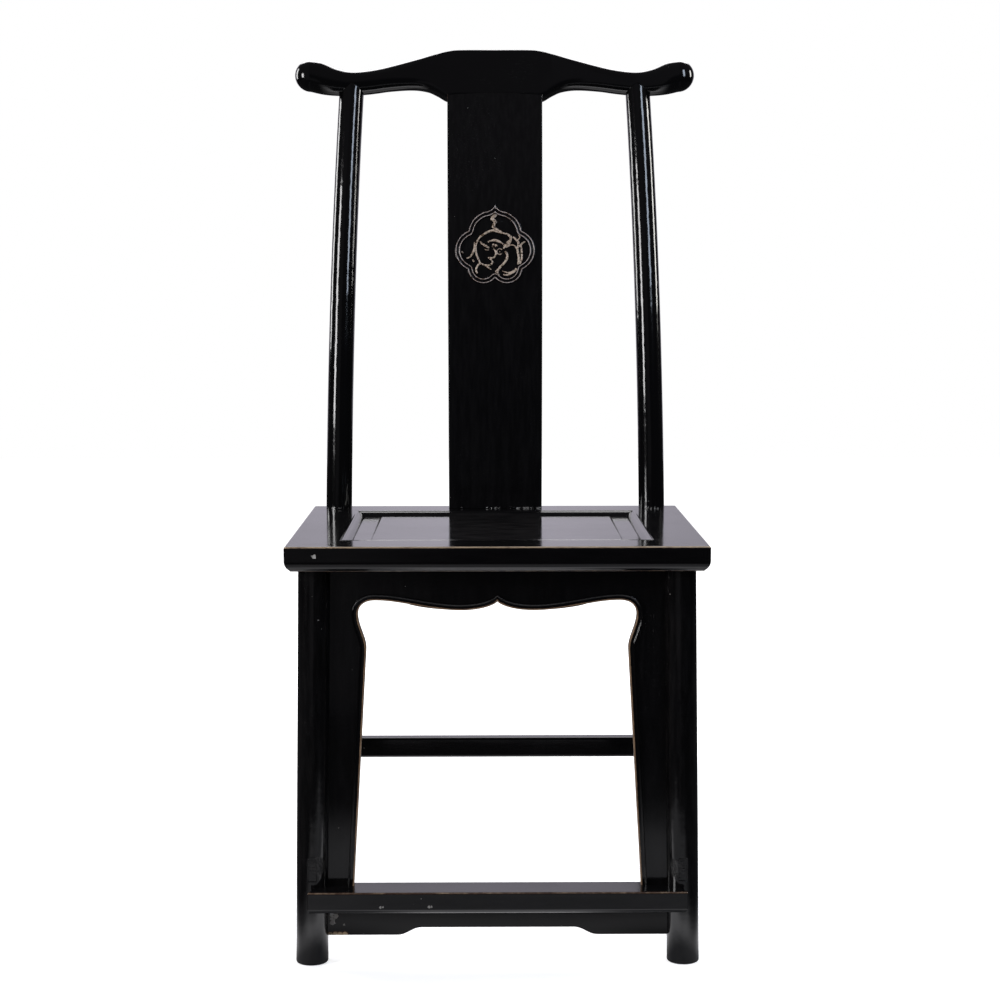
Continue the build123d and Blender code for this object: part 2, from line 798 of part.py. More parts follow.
# ---- places of the boards under the seat ----
board_half = board_thickness / 2.0
groove_half = board_half + joint_clearance
board_top = frame_bottom + board_tongue
apron_bottom = frame_bottom - apron_height
spandrel_bottom = apron_bottom - spandrel_height
side_board_x = (front_leg_x(apron_bottom) + rear_leg_x(apron_bottom)) / 2.0
side_board_front_y = front_leg_y + leg_radius - board_housing
side_board_back_y = rear_leg_y - leg_radius + board_housing
foot_rail_top = foot_rail_bottom + foot_rail_height
front_board_reach = leg_radius - board_housing      # from a leg's axis to the board's edge
rear_board_x = rear_leg_x(board_top) - leg_radius + board_housing


def underside_groove(x_low, x_high, y_low, y_high):
    """Groove in the seat frame's underside for a board's tongue."""
    block(
        x_low, x_high, y_low, y_high,
        frame_bottom - overcut, board_top + end_clearance,
        mode=Mode.SUBTRACT,
    )


with BuildPart() as seat_rail_front:
    add(cross_rail(-1))
    for side in (-1, 1):
        front_leg_mortise(side)
    reach = front_leg_x(frame_bottom) - front_board_reach + end_clearance
    underside_groove(-reach, reach, front_leg_y - groove_half, front_leg_y + groove_half)

with BuildPart() as seat_rail_rear:
    add(cross_rail(1))
    for side in (-1, 1):
        post_hole(side)
    reach = rear_board_x + end_clearance
    underside_groove(-reach, reach, rear_leg_y - groove_half, rear_leg_y + groove_half)
    splat_bottom_tenon(joint_clearance, Mode.SUBTRACT)

side_rails = {}
for side, word in ((-1, "left"), (1, "right")):
    with BuildPart() as seat_rail_side:
        add(side_rail(side))
        front_leg_mortise(side)
        post_hole(side)
        underside_groove(
            side * side_board_x - groove_half, side * side_board_x + groove_half,
            side_board_front_y - end_clearance, side_board_back_y + end_clearance,
        )
    side_rails[word] = seat_rail_side.part

with BuildPart() as seat_frame_pegs:
    for x_side in (-1, 1):
        for y_side in (-1, 1):
            frame_peg(x_side, y_side, peg_diameter / 2.0, frame_peg_length, Mode.ADD)


# ---- seat panel and battens ----
def batten_key_outline(side, grow):
    """Dovetail key section in the XZ plane."""
    middle = side * batten_spacing / 2.0
    low = batten_width / 2.0 - batten_key_flare + grow
    high = batten_width / 2.0 + grow
    top = panel_bottom + batten_key + grow
    Polyline(
        (middle - low, panel_bottom), (middle + low, panel_bottom),
        (middle + high, top), (middle - high, top),
        close=True,
    )


with BuildPart() as seat_panel:
    body_x = inner_x - end_clearance
    body_y = inner_y - end_clearance
    block(
        -body_x, body_x, seat_middle_y - body_y, seat_middle_y + body_y,
        panel_bottom, panel_border_top,
    )
    block(
        -inner_x - panel_tongue, inner_x + panel_tongue,
        seat_middle_y - inner_y - panel_tongue, seat_middle_y + inner_y + panel_tongue,
        tongue_bottom, tongue_top,
    )
    field_width = 2.0 * (inner_x - panel_border)
    field_depth = 2.0 * (inner_y - panel_border)
    with BuildSketch(Plane.XY.offset(panel_border_top)):
        with Locations((0, seat_middle_y)):
            Rectangle(field_width, field_depth)
    with BuildSketch(Plane.XY.offset(panel_border_top + field_raise)):
        with Locations((0, seat_middle_y)):
            Rectangle(field_width - 2.0 * field_bevel, field_depth - 2.0 * field_bevel)
    loft(ruled=True)
    for side in (-1, 1):
        with BuildSketch(Plane.XZ.offset(-seat_middle_y)):
            with BuildLine():
                batten_key_outline(side, joint_clearance)
            make_face()
        extrude(amount=seat_depth, both=True, mode=Mode.SUBTRACT)

battens = {}
for side, word in ((-1, "left"), (1, "right")):
    with BuildPart() as seat_batten:
        middle = side * batten_spacing / 2.0
        block(
            middle - batten_width / 2.0, middle + batten_width / 2.0,
            seat_middle_y - inner_y, seat_middle_y + inner_y,
            panel_bottom - batten_height, panel_bottom,
        )
        with BuildSketch(Plane.XZ.offset(-seat_middle_y)):
            with BuildLine():
                batten_key_outline(side, 0.0)
            make_face()
        extrude(amount=inner_y - end_clearance, both=True)
        for y_side in (-1, 1):
            batten_tenon_block(side, y_side, 0.0, Mode.ADD)
    battens[word] = seat_batten.part


# ---- front apron: a scalloped top board between two side boards ----
front_board_plane = Plane.XZ.offset(-front_leg_y)
opening_low_z = frame_bottom - opening_low_drop
opening_high_z = frame_bottom - opening_high_drop
opening_corner_z = frame_bottom - opening_corner_drop
opening_neck_z = frame_bottom - opening_neck_drop
side_board_bottom = foot_rail_top - board_tongue
opening_base_z = foot_rail_bottom       # the opening's outline closes below the boards


def opening_outline(grow):
    """The scalloped opening, widened by grow: a cusp, a rounded shoulder, a neck and a slow flare."""
    cusp = (0, frame_bottom - opening_cusp_drop + grow)
    low_z = opening_low_z + grow
    high_z = opening_high_z + grow
    corner_x = opening_corner_x + grow
    neck_x = opening_neck_x + grow
    foot_x = opening_foot_x + grow
    for side in (-1, 1):
        Spline(
            cusp,
            (side * opening_low_x * 0.42, between(low_z, cusp[1], 0.3)),
            (side * opening_low_x, low_z),
            (side * between(opening_low_x, opening_high_x, 0.65), between(low_z, high_z, 0.66)),
            (side * opening_high_x, high_z),
            tangents=[(side * 1.0, -0.75), (side * 1.0, 0.0)],
        )
        Spline(
            (side * opening_high_x, high_z),
            (side * between(opening_high_x, corner_x, 0.75), between(high_z, opening_corner_z, 0.28)),
            (side * corner_x, opening_corner_z),
            tangents=[(side * 1.0, 0.0), (0.0, -1.0)],
        )
        Spline(
            (side * corner_x, opening_corner_z),
            (side * between(corner_x, neck_x, 0.5), between(opening_corner_z, opening_neck_z, 0.5)),
            (side * neck_x, opening_neck_z),
            tangents=[(0.0, -1.0), (side * 0.02, -1.0)],
        )
        slope = (foot_x - neck_x) / (opening_neck_z - foot_rail_top)
        base_x = foot_x + slope * (foot_rail_top - opening_base_z)
        Line((side * neck_x, opening_neck_z), (side * base_x, opening_base_z))
        Line((side * base_x, opening_base_z), (0, opening_base_z))


board_edge_top_x = front_leg_x(board_top) - front_board_reach
board_edge_base_x = front_leg_x(side_board_bottom) - front_board_reach


def front_frame_blank():
    """Top and side boards as one plate with its beaded edge, before the mitres part them."""
    with BuildPart() as blank:
        with BuildSketch(front_board_plane):
            with BuildLine():
                Polyline(
                    (-board_edge_top_x, board_top), (board_edge_top_x, board_top),
                    (board_edge_base_x, side_board_bottom), (-board_edge_base_x, side_board_bottom),
                    close=True,
                )
            make_face()
            with BuildLine():
                opening_outline(0.0)
            make_face(mode=Mode.SUBTRACT)
        extrude(amount=board_half, both=True)
        with BuildSketch(front_board_plane.offset(board_half - bead_raise)):
            with BuildLine():
                opening_outline(bead_width)
            make_face()
            with BuildLine():
                opening_outline(0.0)
            make_face(mode=Mode.SUBTRACT)
            with BuildLine():
                Polyline(
                    (-board_edge_top_x, frame_bottom), (board_edge_top_x, frame_bottom),
                    (board_edge_top_x, foot_rail_top), (-board_edge_top_x, foot_rail_top),
                    close=True,
                )
            make_face(mode=Mode.INTERSECT)
        extrude(amount=2.0 * bead_raise)
    return blank.part


front_frame = front_frame_blank()
mitre_apex_z = board_top - board_edge_top_x     # the mitres run at 45 degrees from the top corners


def mitre_wedge(mode):
    """Prism above both mitres: what lies in it is the top board."""
    with BuildSketch(front_board_plane) as wedge:
        with BuildLine():
            Polyline(
                (-board_edge_top_x, board_top), (board_edge_top_x, board_top), (0, mitre_apex_z),
                close=True,
            )
        make_face()
    extrude(wedge.sketch, amount=2.0 * board_thickness, both=True, mode=mode)


with BuildPart() as front_apron:
    add(front_frame)
    mitre_wedge(Mode.INTERSECT)

front_side_boards = {}
for side, word in ((-1, "left"), (1, "right")):
    with BuildPart() as front_side_board:
        add(front_frame)
        mitre_wedge(Mode.SUBTRACT)
        split(bisect_by=Plane.YZ, keep=Keep.TOP if side > 0 else Keep.BOTTOM)
    front_side_boards[word] = front_side_board.part


# ---- foot rail ----
foot_rail_front_y = front_leg_y - leg_radius - foot_rail_forward
foot_rail_back_y = foot_rail_front_y + foot_rail_depth
foot_tenon_z = foot_rail_bottom + (foot_rail_height - foot_tenon_height) / 2.0


def foot_tenon(side, grow, mode):
    """Tenon of the foot rail in a front leg, or with grow its mortise."""
    leg_face = front_leg_x(foot_rail_bottom) - leg_radius
    half = stretcher_tenon_thickness / 2.0 + grow
    root = leg_face - tenon_root
    tip = leg_face + foot_tenon_length + (end_clearance if grow else 0.0)
    block(
        *sorted((side * root, side * tip)),
        front_leg_y - half, front_leg_y + half,
        foot_tenon_z - grow, foot_tenon_z + foot_tenon_height + grow,
        mode=mode,
    )


with BuildPart() as foot_rail:
    block(
        -foot_rail_half_length, foot_rail_half_length,
        foot_rail_front_y, foot_rail_back_y,
        foot_rail_bottom, foot_rail_top,
    )
    front_edges = foot_rail.edges().filter_by(Axis.X).group_by(Axis.Y)[0].sort_by(Axis.Z)
    fillet(front_edges[0], foot_rail_bottom_round)
    top_edges = foot_rail.edges().filter_by(Axis.X).group_by(Axis.Z)[-1].sort_by(Axis.Y)
    fillet(top_edges[0], foot_rail_top_round)
    for side in (-1, 1):
        # The ends slant back to meet the legs.
        with BuildSketch(Plane.XY.offset(foot_rail_bottom - overcut)):
            with BuildLine():
                tip = side * foot_rail_half_length
                Polyline(
                    (tip, foot_rail_front_y),
                    (tip - side * foot_rail_end_bevel, foot_rail_front_y + foot_rail_forward),
                    (tip - side * foot_rail_end_bevel, foot_rail_back_y + overcut),
                    (tip + side * overcut, foot_rail_back_y + overcut),
                    (tip + side * overcut, foot_rail_front_y),
                    close=True,
                )
            make_face()
        extrude(amount=foot_rail_height + 2.0 * overcut, mode=Mode.SUBTRACT)
        add(front_blanks[side], mode=Mode.SUBTRACT)
    for side in (-1, 1):
        foot_tenon(side, 0.0, Mode.ADD)
        # Groove for the foot of a side board.
        reach = board_edge_base_x + end_clearance
        block(
            *sorted((side * (opening_foot_x - joint_clearance), side * reach)),
            front_leg_y - groove_half, front_leg_y + groove_half,
            side_board_bottom - end_clearance, foot_rail_top + overcut,
            mode=Mode.SUBTRACT,
        )
    foot_apron_reach = front_leg_x(foot_rail_bottom) - front_board_reach
    block(
        -foot_apron_reach - end_clearance, foot_apron_reach + end_clearance,
        front_leg_y - groove_half, front_leg_y + groove_half,
        foot_rail_bottom - overcut, foot_rail_bottom + board_tongue + end_clearance,
        mode=Mode.SUBTRACT,
    )

with BuildPart() as foot_rail_apron:
    end_z = foot_rail_bottom - foot_apron_end_height
    middle_z = foot_rail_bottom - foot_apron_middle_height
    with BuildSketch(front_board_plane):
        with BuildLine():
            Line((-foot_apron_step_inner_x, middle_z), (foot_apron_step_inner_x, middle_z))
            for side in (-1, 1):
                Spline(
                    (side * foot_apron_step_inner_x, middle_z),
                    (
                        side * between(foot_apron_step_inner_x, foot_apron_step_outer_x, 0.5),
                        between(middle_z, end_z, 0.5),
                    ),
                    (side * foot_apron_step_outer_x, end_z),
                    tangents=[(side * 1.0, 0.0), (side * 1.0, 0.0)],
                )
                Polyline(
                    (side * foot_apron_step_outer_x, end_z), (side * foot_apron_reach, end_z),
                    (side * foot_apron_reach, foot_rail_bottom + board_tongue),
                    (0, foot_rail_bottom + board_tongue),
                )
        make_face()
    extrude(amount=board_half, both=True)


# ---- stretchers ----
side_stretcher_top = side_stretcher_bottom + side_stretcher_height
side_stretcher_z = (side_stretcher_bottom + side_stretcher_top) / 2.0
side_stretcher_x = (front_leg_x(side_stretcher_z) + rear_leg_x(side_stretcher_z)) / 2.0
# A through tenon ends where the round leg's surface crosses the tenon's cheeks.
tenon_reach = (leg_radius**2 - (stretcher_tenon_thickness / 2.0) ** 2) ** 0.5


def side_stretcher_tenon(side, grow, mode):
    """The long through tenon from the front leg's face to the rear leg's back, or its mortise."""
    half = stretcher_tenon_thickness / 2.0 + grow
    beyond = leg_radius if grow else 0.0
    block(
        side * side_stretcher_x - half, side * side_stretcher_x + half,
        front_leg_y - tenon_reach - beyond, rear_leg_y + tenon_reach + beyond,
        side_stretcher_bottom - grow, side_stretcher_top + grow,
        mode=mode,
    )


side_stretchers = {}
for side, word in ((-1, "left"), (1, "right")):
    with BuildPart() as side_stretcher:
        half = side_stretcher_width / 2.0
        block(
            side * side_stretcher_x - half, side * side_stretcher_x + half,
            front_leg_y, rear_leg_y,
            side_stretcher_bottom, side_stretcher_top,
        )
        fillet(side_stretcher.edges().filter_by(Axis.Y), stretcher_round)
        add(front_blanks[side], mode=Mode.SUBTRACT)
        add(rear_blanks[side], mode=Mode.SUBTRACT)
        side_stretcher_tenon(side, 0.0, Mode.ADD)
    side_stretchers[word] = side_stretcher.part

rear_stretcher_top = rear_stretcher_bottom + rear_stretcher_height
rear_stretcher_z = (rear_stretcher_bottom + rear_stretcher_top) / 2.0


def rear_stretcher_tenon(side, grow, mode):
    """Blind tenon of the rear stretcher in a rear leg, or with grow its mortise."""
    leg_face = rear_leg_x(rear_stretcher_z) - leg_radius
    half = stretcher_tenon_thickness / 2.0 + grow
    half_height = rear_tenon_height / 2.0 + grow
    root = leg_face - tenon_root
    tip = leg_face + rear_tenon_length + (end_clearance if grow else 0.0)
    block(
        *sorted((side * root, side * tip)),
        rear_leg_y - half, rear_leg_y + half,
        rear_stretcher_z - half_height, rear_stretcher_z + half_height,
        mode=mode,
    )


with BuildPart() as rear_stretcher:
    reach = rear_leg_x(rear_stretcher_z)
    half = rear_stretcher_width / 2.0
    block(-reach, reach, rear_leg_y - half, rear_leg_y + half, rear_stretcher_bottom, rear_stretcher_top)
    fillet(rear_stretcher.edges().filter_by(Axis.X), stretcher_round)
    for side in (-1, 1):
        add(rear_blanks[side], mode=Mode.SUBTRACT)
    for side in (-1, 1):
        rear_stretcher_tenon(side, 0.0, Mode.ADD)


# ---- side and rear aprons with their spandrels ----
side_aprons = {}
for side, word in ((-1, "left"), (1, "right")):
    with BuildPart() as side_apron:
        block(
            side * side_board_x - board_half, side * side_board_x + board_half,
            side_board_front_y, side_board_back_y,
            apron_bottom, board_top,
        )
    side_aprons[word] = side_apron.part

with BuildPart() as rear_apron:
    block(
        -rear_board_x, rear_board_x,
        rear_leg_y - board_half, rear_leg_y + board_half,
        apron_bottom, board_top,
    )


def spandrel(plane, edge, inward):
    """A bracket under an apron: edge is its housed side along the plane's X, inward its direction."""
    tip = edge + inward * (board_housing + spandrel_tip)
    wide = edge + inward * (board_housing + spandrel_width)
    with BuildPart() as bracket:
        with BuildSketch(plane):
            with BuildLine():
                Polyline(
                    (tip, spandrel_bottom), (edge, spandrel_bottom),
                    (edge, apron_bottom), (wide, apron_bottom),
                )
                Spline(
                    (wide, apron_bottom),
                    (between(tip, wide, 0.35), between(spandrel_bottom, apron_bottom, 0.62)),
                    (tip, spandrel_bottom),
                )
            make_face()
        extrude(amount=board_half, both=True)
    return bracket.part


spandrels = {}
for side, word in ((-1, "left"), (1, "right")):
    side_plane = Plane.YZ.offset(side * side_board_x)
    spandrels[f"side_spandrel_front_{word}"] = spandrel(side_plane, side_board_front_y, 1)
    spandrels[f"side_spandrel_rear_{word}"] = spandrel(side_plane, side_board_back_y, -1)
    rear_plane = Plane.XZ.offset(-rear_leg_y)
    spandrels[f"rear_spandrel_{word}"] = spandrel(rear_plane, side * rear_board_x, -side)


# ---- legs with their joints ----
def leg_groove(side, leg_x_at, leg_y, low, high):
    """Groove along a leg's inner side for a board that runs across the chair."""
    with BuildSketch(Plane.XZ.offset(-leg_y)) as outline:
        with BuildLine():
            deep_low = leg_x_at(low) - front_board_reach + end_clearance
            deep_high = leg_x_at(high) - front_board_reach + end_clearance
            Polyline(
                (side * deep_low, low), (side * deep_high, high),
                (side * (deep_high - leg_radius), high), (side * (deep_low - leg_radius), low),
                close=True,
            )
        make_face()
    extrude(outline.sketch, amount=groove_half, both=True, mode=Mode.SUBTRACT)


def side_groove(side, leg_y, inward):
    """Groove down a leg for the side apron and the spandrel under it."""
    floor = leg_y + inward * (leg_radius - board_housing - end_clearance)
    mouth = leg_y + inward * 2.0 * leg_radius
    block(
        side * side_board_x - groove_half, side * side_board_x + groove_half,
        *sorted((floor, mouth)),
        spandrel_bottom - joint_clearance, board_top + joint_clearance,
        mode=Mode.SUBTRACT,
    )


front_legs = {}
for side, word in ((-1, "left"), (1, "right")):
    with BuildPart() as front_leg:
        add(front_blanks[side])
        leg_groove(side, front_leg_x, front_leg_y, side_board_bottom, frame_bottom)
        low = foot_rail_bottom - foot_apron_end_height - joint_clearance
        leg_groove(side, front_leg_x, front_leg_y, low, foot_rail_bottom + board_tongue)
        side_groove(side, front_leg_y, 1)
        foot_tenon(side, joint_clearance, Mode.SUBTRACT)
        side_stretcher_tenon(side, joint_clearance, Mode.SUBTRACT)
        half = leg_tenon_side / 2.0
        block(
            side * front_leg_top_x - half, side * front_leg_top_x + half,
            front_leg_y - half, front_leg_y + half,
            frame_bottom, frame_bottom + leg_tenon_height,
        )
    front_legs[word] = front_leg.part

rear_legs = {}
for side, word in ((-1, "left"), (1, "right")):
    with BuildPart() as rear_leg:
        add(rear_blanks[side])
        add(post_blanks[side])
        low = spandrel_bottom - joint_clearance
        leg_groove(side, rear_leg_x, rear_leg_y, low, board_top + joint_clearance)
        side_groove(side, rear_leg_y, -1)
        side_stretcher_tenon(side, joint_clearance, Mode.SUBTRACT)
        rear_stretcher_tenon(side, joint_clearance, Mode.SUBTRACT)
        add(crest_body, mode=Mode.SUBTRACT)
        with BuildSketch(post_joint_plane(side, -post_overrun)):
            Circle(post_tenon_diameter / 2.0)
        extrude(amount=post_overrun + post_tenon_height)
        crest_peg_hole(side)
    rear_legs[word] = rear_leg.part


# ---- write every piece ----
os.makedirs("parts", exist_ok=True)
save(crest_rail.part, "crest_rail")
save(crest_pegs.part, "crest_pegs")
save(back_splat.part, "back_splat")
save(seat_rail_front.part, "seat_rail_front")
save(seat_rail_rear.part, "seat_rail_rear")
save(seat_frame_pegs.part, "seat_frame_pegs")
save(seat_panel.part, "seat_panel")
save(front_apron.part, "front_apron")
save(foot_rail.part, "foot_rail")
save(foot_rail_apron.part, "foot_rail_apron")
save(rear_stretcher.part, "rear_stretcher")
save(rear_apron.part, "rear_apron")
for word in ("left", "right"):
    save(front_legs[word], f"front_leg_{word}")
    save(rear_legs[word], f"rear_leg_{word}")
    save(side_rails[word], f"seat_rail_{word}")
    save(battens[word], f"seat_batten_{word}")
    save(front_side_boards[word], f"front_apron_side_{word}")
    save(side_stretchers[word], f"side_stretcher_{word}")
    save(side_aprons[word], f"side_apron_{word}")
for name, bracket in spandrels.items():
    save(bracket, name)
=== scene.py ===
import math

import bmesh
import bpy
import numpy as np
from bpy.props import FloatProperty, FloatVectorProperty, IntProperty, PointerProperty
from mathutils import Matrix, Vector


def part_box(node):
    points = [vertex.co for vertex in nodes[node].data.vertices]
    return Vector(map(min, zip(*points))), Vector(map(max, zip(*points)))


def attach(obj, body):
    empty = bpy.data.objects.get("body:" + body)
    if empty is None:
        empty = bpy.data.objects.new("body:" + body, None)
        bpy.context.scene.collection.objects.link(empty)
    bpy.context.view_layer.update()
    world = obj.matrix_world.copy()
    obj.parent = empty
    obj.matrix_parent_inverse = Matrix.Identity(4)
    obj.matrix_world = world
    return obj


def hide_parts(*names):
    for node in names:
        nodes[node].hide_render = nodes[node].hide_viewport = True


bl_info = {
    "name": "Yoke-Back Chair Finish",
    "version": (1, 0, 0),
    "blender": (4, 5, 0),
    "location": "View3D > Sidebar > Chair",
    "description": "Carves, rounds and lacquers a yoke-back side chair around its joined frame",
    "category": "Object",
}

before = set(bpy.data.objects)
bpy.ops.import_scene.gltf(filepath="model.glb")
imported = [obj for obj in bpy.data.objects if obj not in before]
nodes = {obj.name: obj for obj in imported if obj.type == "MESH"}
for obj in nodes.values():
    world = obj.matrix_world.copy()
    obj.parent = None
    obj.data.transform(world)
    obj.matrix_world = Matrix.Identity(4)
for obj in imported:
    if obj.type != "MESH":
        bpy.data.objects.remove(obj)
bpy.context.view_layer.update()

BODY = "root"
MILLIMETRE = 0.001

# ---- the frame's own places, in metres ----
SEAT_TOP = 0.510
SEAT_FRONT_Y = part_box("seat_rail_front")[0].y
SEAT_LOWER_ARRIS_Z = 0.4802
FOOT_RAIL_FRONT_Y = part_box("foot_rail")[0].y
FOOT_RAIL_ARRIS_Z = 0.0944
FOOT_APRON_FRONT_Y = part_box("foot_rail_apron")[0].y
FOOT_APRON_END_Z = 0.0337       # lower edge of the foot rail's apron, at its ends
FRONT_LEG_Y = -0.21667
FRONT_LEG_FACE_Y = FRONT_LEG_Y - 0.019
FRONT_BOARD_FACE_Y = FRONT_LEG_Y - 0.0045
CUSP = (0.0, 0.4403)            # the front opening's middle
POST_Y = 0.16833
POST_FOOT_FRONT = 0.0168        # post's face in front of its axis, at the seat
POST_TOP_X = 0.1957
LEAN_MIDDLE = 0.780             # height where the back's slow bend ends and its quick bend starts
LEAN_MIDDLE_SHIFT = 0.00873
LEAN_MIDDLE_ANGLE = math.radians(4.0)
LEAN_TOP_SHIFT = 0.05267
LEAN_TOP = 1.074
LEAN_TOP_ANGLE = math.radians(13.0)
BACK_BEND_RADIUS = 1.8944
SPLAT_FRONT = 0.009             # splat's face in front of the post's axis
MEDALLION_HEIGHT = 0.868


# ---- shader maths ----
class Wire:
    """A number socket that can stand in an expression; each operator adds one Math node."""

    def __init__(self, graph, socket):
        self.graph = graph
        self.socket = socket

    def math(self, operation, *others):
        return self.graph.math(operation, self, *others)

    def __add__(self, other):
        return self.math("ADD", other)

    __radd__ = __add__

    def __sub__(self, other):
        return self.math("SUBTRACT", other)

    def __mul__(self, other):
        return self.math("MULTIPLY", other)

    def __pow__(self, other):
        return self.math("POWER", other)

    def __rsub__(self, other):
        return self.graph.math("SUBTRACT", other, self)

    def over(self, low, high):
        """0 below low and 1 above high, with a smooth ramp between them; falls where low is above high."""
        sockets = {"Value": self, "From Min": low, "From Max": high}
        return self.graph.node("MapRange", sockets, {"interpolation_type": "SMOOTHSTEP"})


class Graph:
    """The nodes of one material or world."""

    def __init__(self, owner):
        owner.use_nodes = True
        self.tree = owner.node_tree
        self.tree.nodes.clear()

    def node(self, kind, sockets=None, settings=None, output=0):
        """Adds a shader node, with values or links of its sockets, and gives one of its outputs."""
        node = self.tree.nodes.new("ShaderNode" + kind)
        for name, value in (settings or {}).items():
            setattr(node, name, value)
        for name, value in (sockets or {}).items():
            self.feed(self.find(node, name), value)
        return Wire(self, node.outputs[output]) if node.outputs else None

    @staticmethod
    def find(node, name):
        """A socket by its number, its identifier or its name."""
        if isinstance(name, int):
            return node.inputs[name]
        for socket in node.inputs:
            if socket.identifier == name:
                return socket
        return node.inputs[name]

    def feed(self, socket, value):
        if isinstance(value, Wire):
            self.tree.links.new(value.socket, socket)
        elif isinstance(value, tuple) and len(value) == 3 and socket.type == "RGBA":
            socket.default_value = (*value, 1.0)
        else:
            socket.default_value = value

    def math(self, operation, *values):
        return self.node("Math", dict(enumerate(values)), {"operation": operation})

    def mix(self, factor, under, over):
        """Colour over laid on colour under by a factor."""
        sockets = {"Factor_Float": factor, "A_Color": under, "B_Color": over}
        return self.node("Mix", sockets, {"data_type": "RGBA"}, output=2)

    def noise(self, place, scale, detail=2.0, roughness=0.5):
        sockets = {"Vector": place, "Scale": scale, "Detail": detail, "Roughness": roughness}
        return self.node("TexNoise", sockets)

    def stretch(self, place, scale):
        return self.node("Mapping", {"Vector": place, "Scale": scale})

    def place(self):
        return self.node("TexCoord", output=3)

    def axes(self, place):
        """X, Y and Z of a vector, as three numbers."""
        split = self.tree.nodes.new("ShaderNodeSeparateXYZ")
        self.tree.links.new(place.socket, split.inputs[0])
        return [Wire(self, socket) for socket in split.outputs]

    def surface(self, sockets):
        """Ends a material in a Principled shader."""
        shader = self.node("BsdfPrincipled", sockets)
        self.node("OutputMaterial", {"Surface": shader})


# ---- settings ----
def length(name, description, default, **limits):
    return FloatProperty(name=name, description=description, default=default, unit="LENGTH", **limits)


def colour(name, description, default):
    return FloatVectorProperty(
        name=name, description=description, default=default, subtype="COLOR", size=3, min=0.0, max=1.0)


class LacquerSettings(bpy.types.PropertyGroup):
    """Colours and wear of the lacquer."""

    black: colour("Lacquer", "Colour of the black top coat", (0.0019, 0.0018, 0.0021))
    undercoat: colour("Undercoat", "Colour where the top coat is rubbed thin", (0.060, 0.032, 0.020))
    wood: colour("Bare Wood", "Colour where the lacquer is rubbed away", (0.42, 0.31, 0.20))
    chalk: colour("Ground", "Colour of the chalky ground in chips and joints", (0.55, 0.53, 0.50))
    polish: FloatProperty(
        name="Polish", description="Roughness of the polished lacquer", default=0.085, min=0.02, max=0.5,
    )
    edge_width: length("Rubbed Edge", "Width of the wear along an edge", 0.0013, min=0.0002, max=0.01)


class CrestSettings(bpy.types.PropertyGroup):
    """The crest rail's shape."""

    bow: length("Bow", "How far the crest's middle lies behind the posts", 0.006)
    facet_drop: length("Headrest Height", "Height of the headrest's upper band", 0.023)
    facet_lean: length("Headrest Lean", "How far the upper band leans back", 0.007)
    ball_radius: length("End Radius", "Radius of the crest's rounded ends", 0.021)


class MedallionSettings(bpy.types.PropertyGroup):
    """The cartouche carved on the splat."""

    rim_width: length("Rim Width", "Width of the cartouche's double rim", 0.0072)
    rim_height: length("Rim Height", "Height of the rim above the splat", 0.0030)
    relief: length("Relief", "Height of the dragon above its ground", 0.0026)
    ground: length("Ground", "How far the ground lies below the splat's face", 0.0020)
    grain: length("Carving Grain", "Finest detail of the carving's mesh", 0.00045)


class BeadSettings(bpy.types.PropertyGroup):
    """The bead that runs round the front opening."""

    width: length("Bead Width", "Width of the bead", 0.0078)
    height: length("Bead Height", "Height of the bead above the boards", 0.0033)
    steps: IntProperty(
        name="Bead Steps", description="Points round the bead's section", default=64, min=16,
    )


class StageSettings(bpy.types.PropertyGroup):
    """Floor, lights and camera."""

    floor: colour("Floor", "Colour of the floor", (0.80, 0.795, 0.80))
    backdrop: colour("Backdrop", "Light from behind the chair", (0.66, 0.63, 0.72))
    lens: FloatProperty(
        name="Lens", description="Focal length in millimetres", default=74.74, min=10.0,
    )


# ---- meshes ----
def linked(name, data):
    """A new object of the scene."""
    made = bpy.data.objects.new(name, data)
    bpy.context.scene.collection.objects.link(made)
    return made


def new_piece(name, mesh):
    """Makes a finished mesh a lacquered piece that rides on the chair."""
    piece = linked(name, mesh)
    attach(piece, BODY)
    return piece


def baked(source, name):
    """The plain mesh of an object's modifiers; the object itself is removed."""
    bpy.context.view_layer.update()
    depsgraph = bpy.context.evaluated_depsgraph_get()
    mesh = bpy.data.meshes.new_from_object(source.evaluated_get(depsgraph))
    mesh.name = name
    bpy.data.objects.remove(source)
    return mesh


def mesh_points(mesh):
    points = np.empty(len(mesh.vertices) * 3)
    mesh.vertices.foreach_get("co", points)
    return points.reshape(-1, 3)


def move_points(mesh, points):
    mesh.vertices.foreach_set("co", np.asarray(points, float).ravel())
    mesh.update()


def face_outward(mesh):
    grid = bmesh.new()
    grid.from_mesh(mesh)
    bmesh.ops.recalc_face_normals(grid, faces=grid.faces)
    grid.to_mesh(mesh)
    grid.free()


def numbers_of(mesh, name):
    """A point attribute's values."""
    values = np.empty(len(mesh.vertices))
    mesh.attributes[name].data.foreach_get("value", values)
    return values


def add_number(mesh, name, values):
    attribute = mesh.attributes.new(name, "FLOAT", "POINT")
    attribute.data.foreach_set("value", np.asarray(values, np.float32))


def between(low, high, slope_low, slope_high, gap, share):
    """The place at a share of the way along a cubic curve from low to high."""
    fall = 2.0 * share**3 - 3.0 * share**2 + 1.0
    leave = share**3 - 2.0 * share**2 + share
    arrive = share**3 - share**2
    return fall * low + (1.0 - fall) * high + gap * (leave * slope_low + arrive * slope_high)


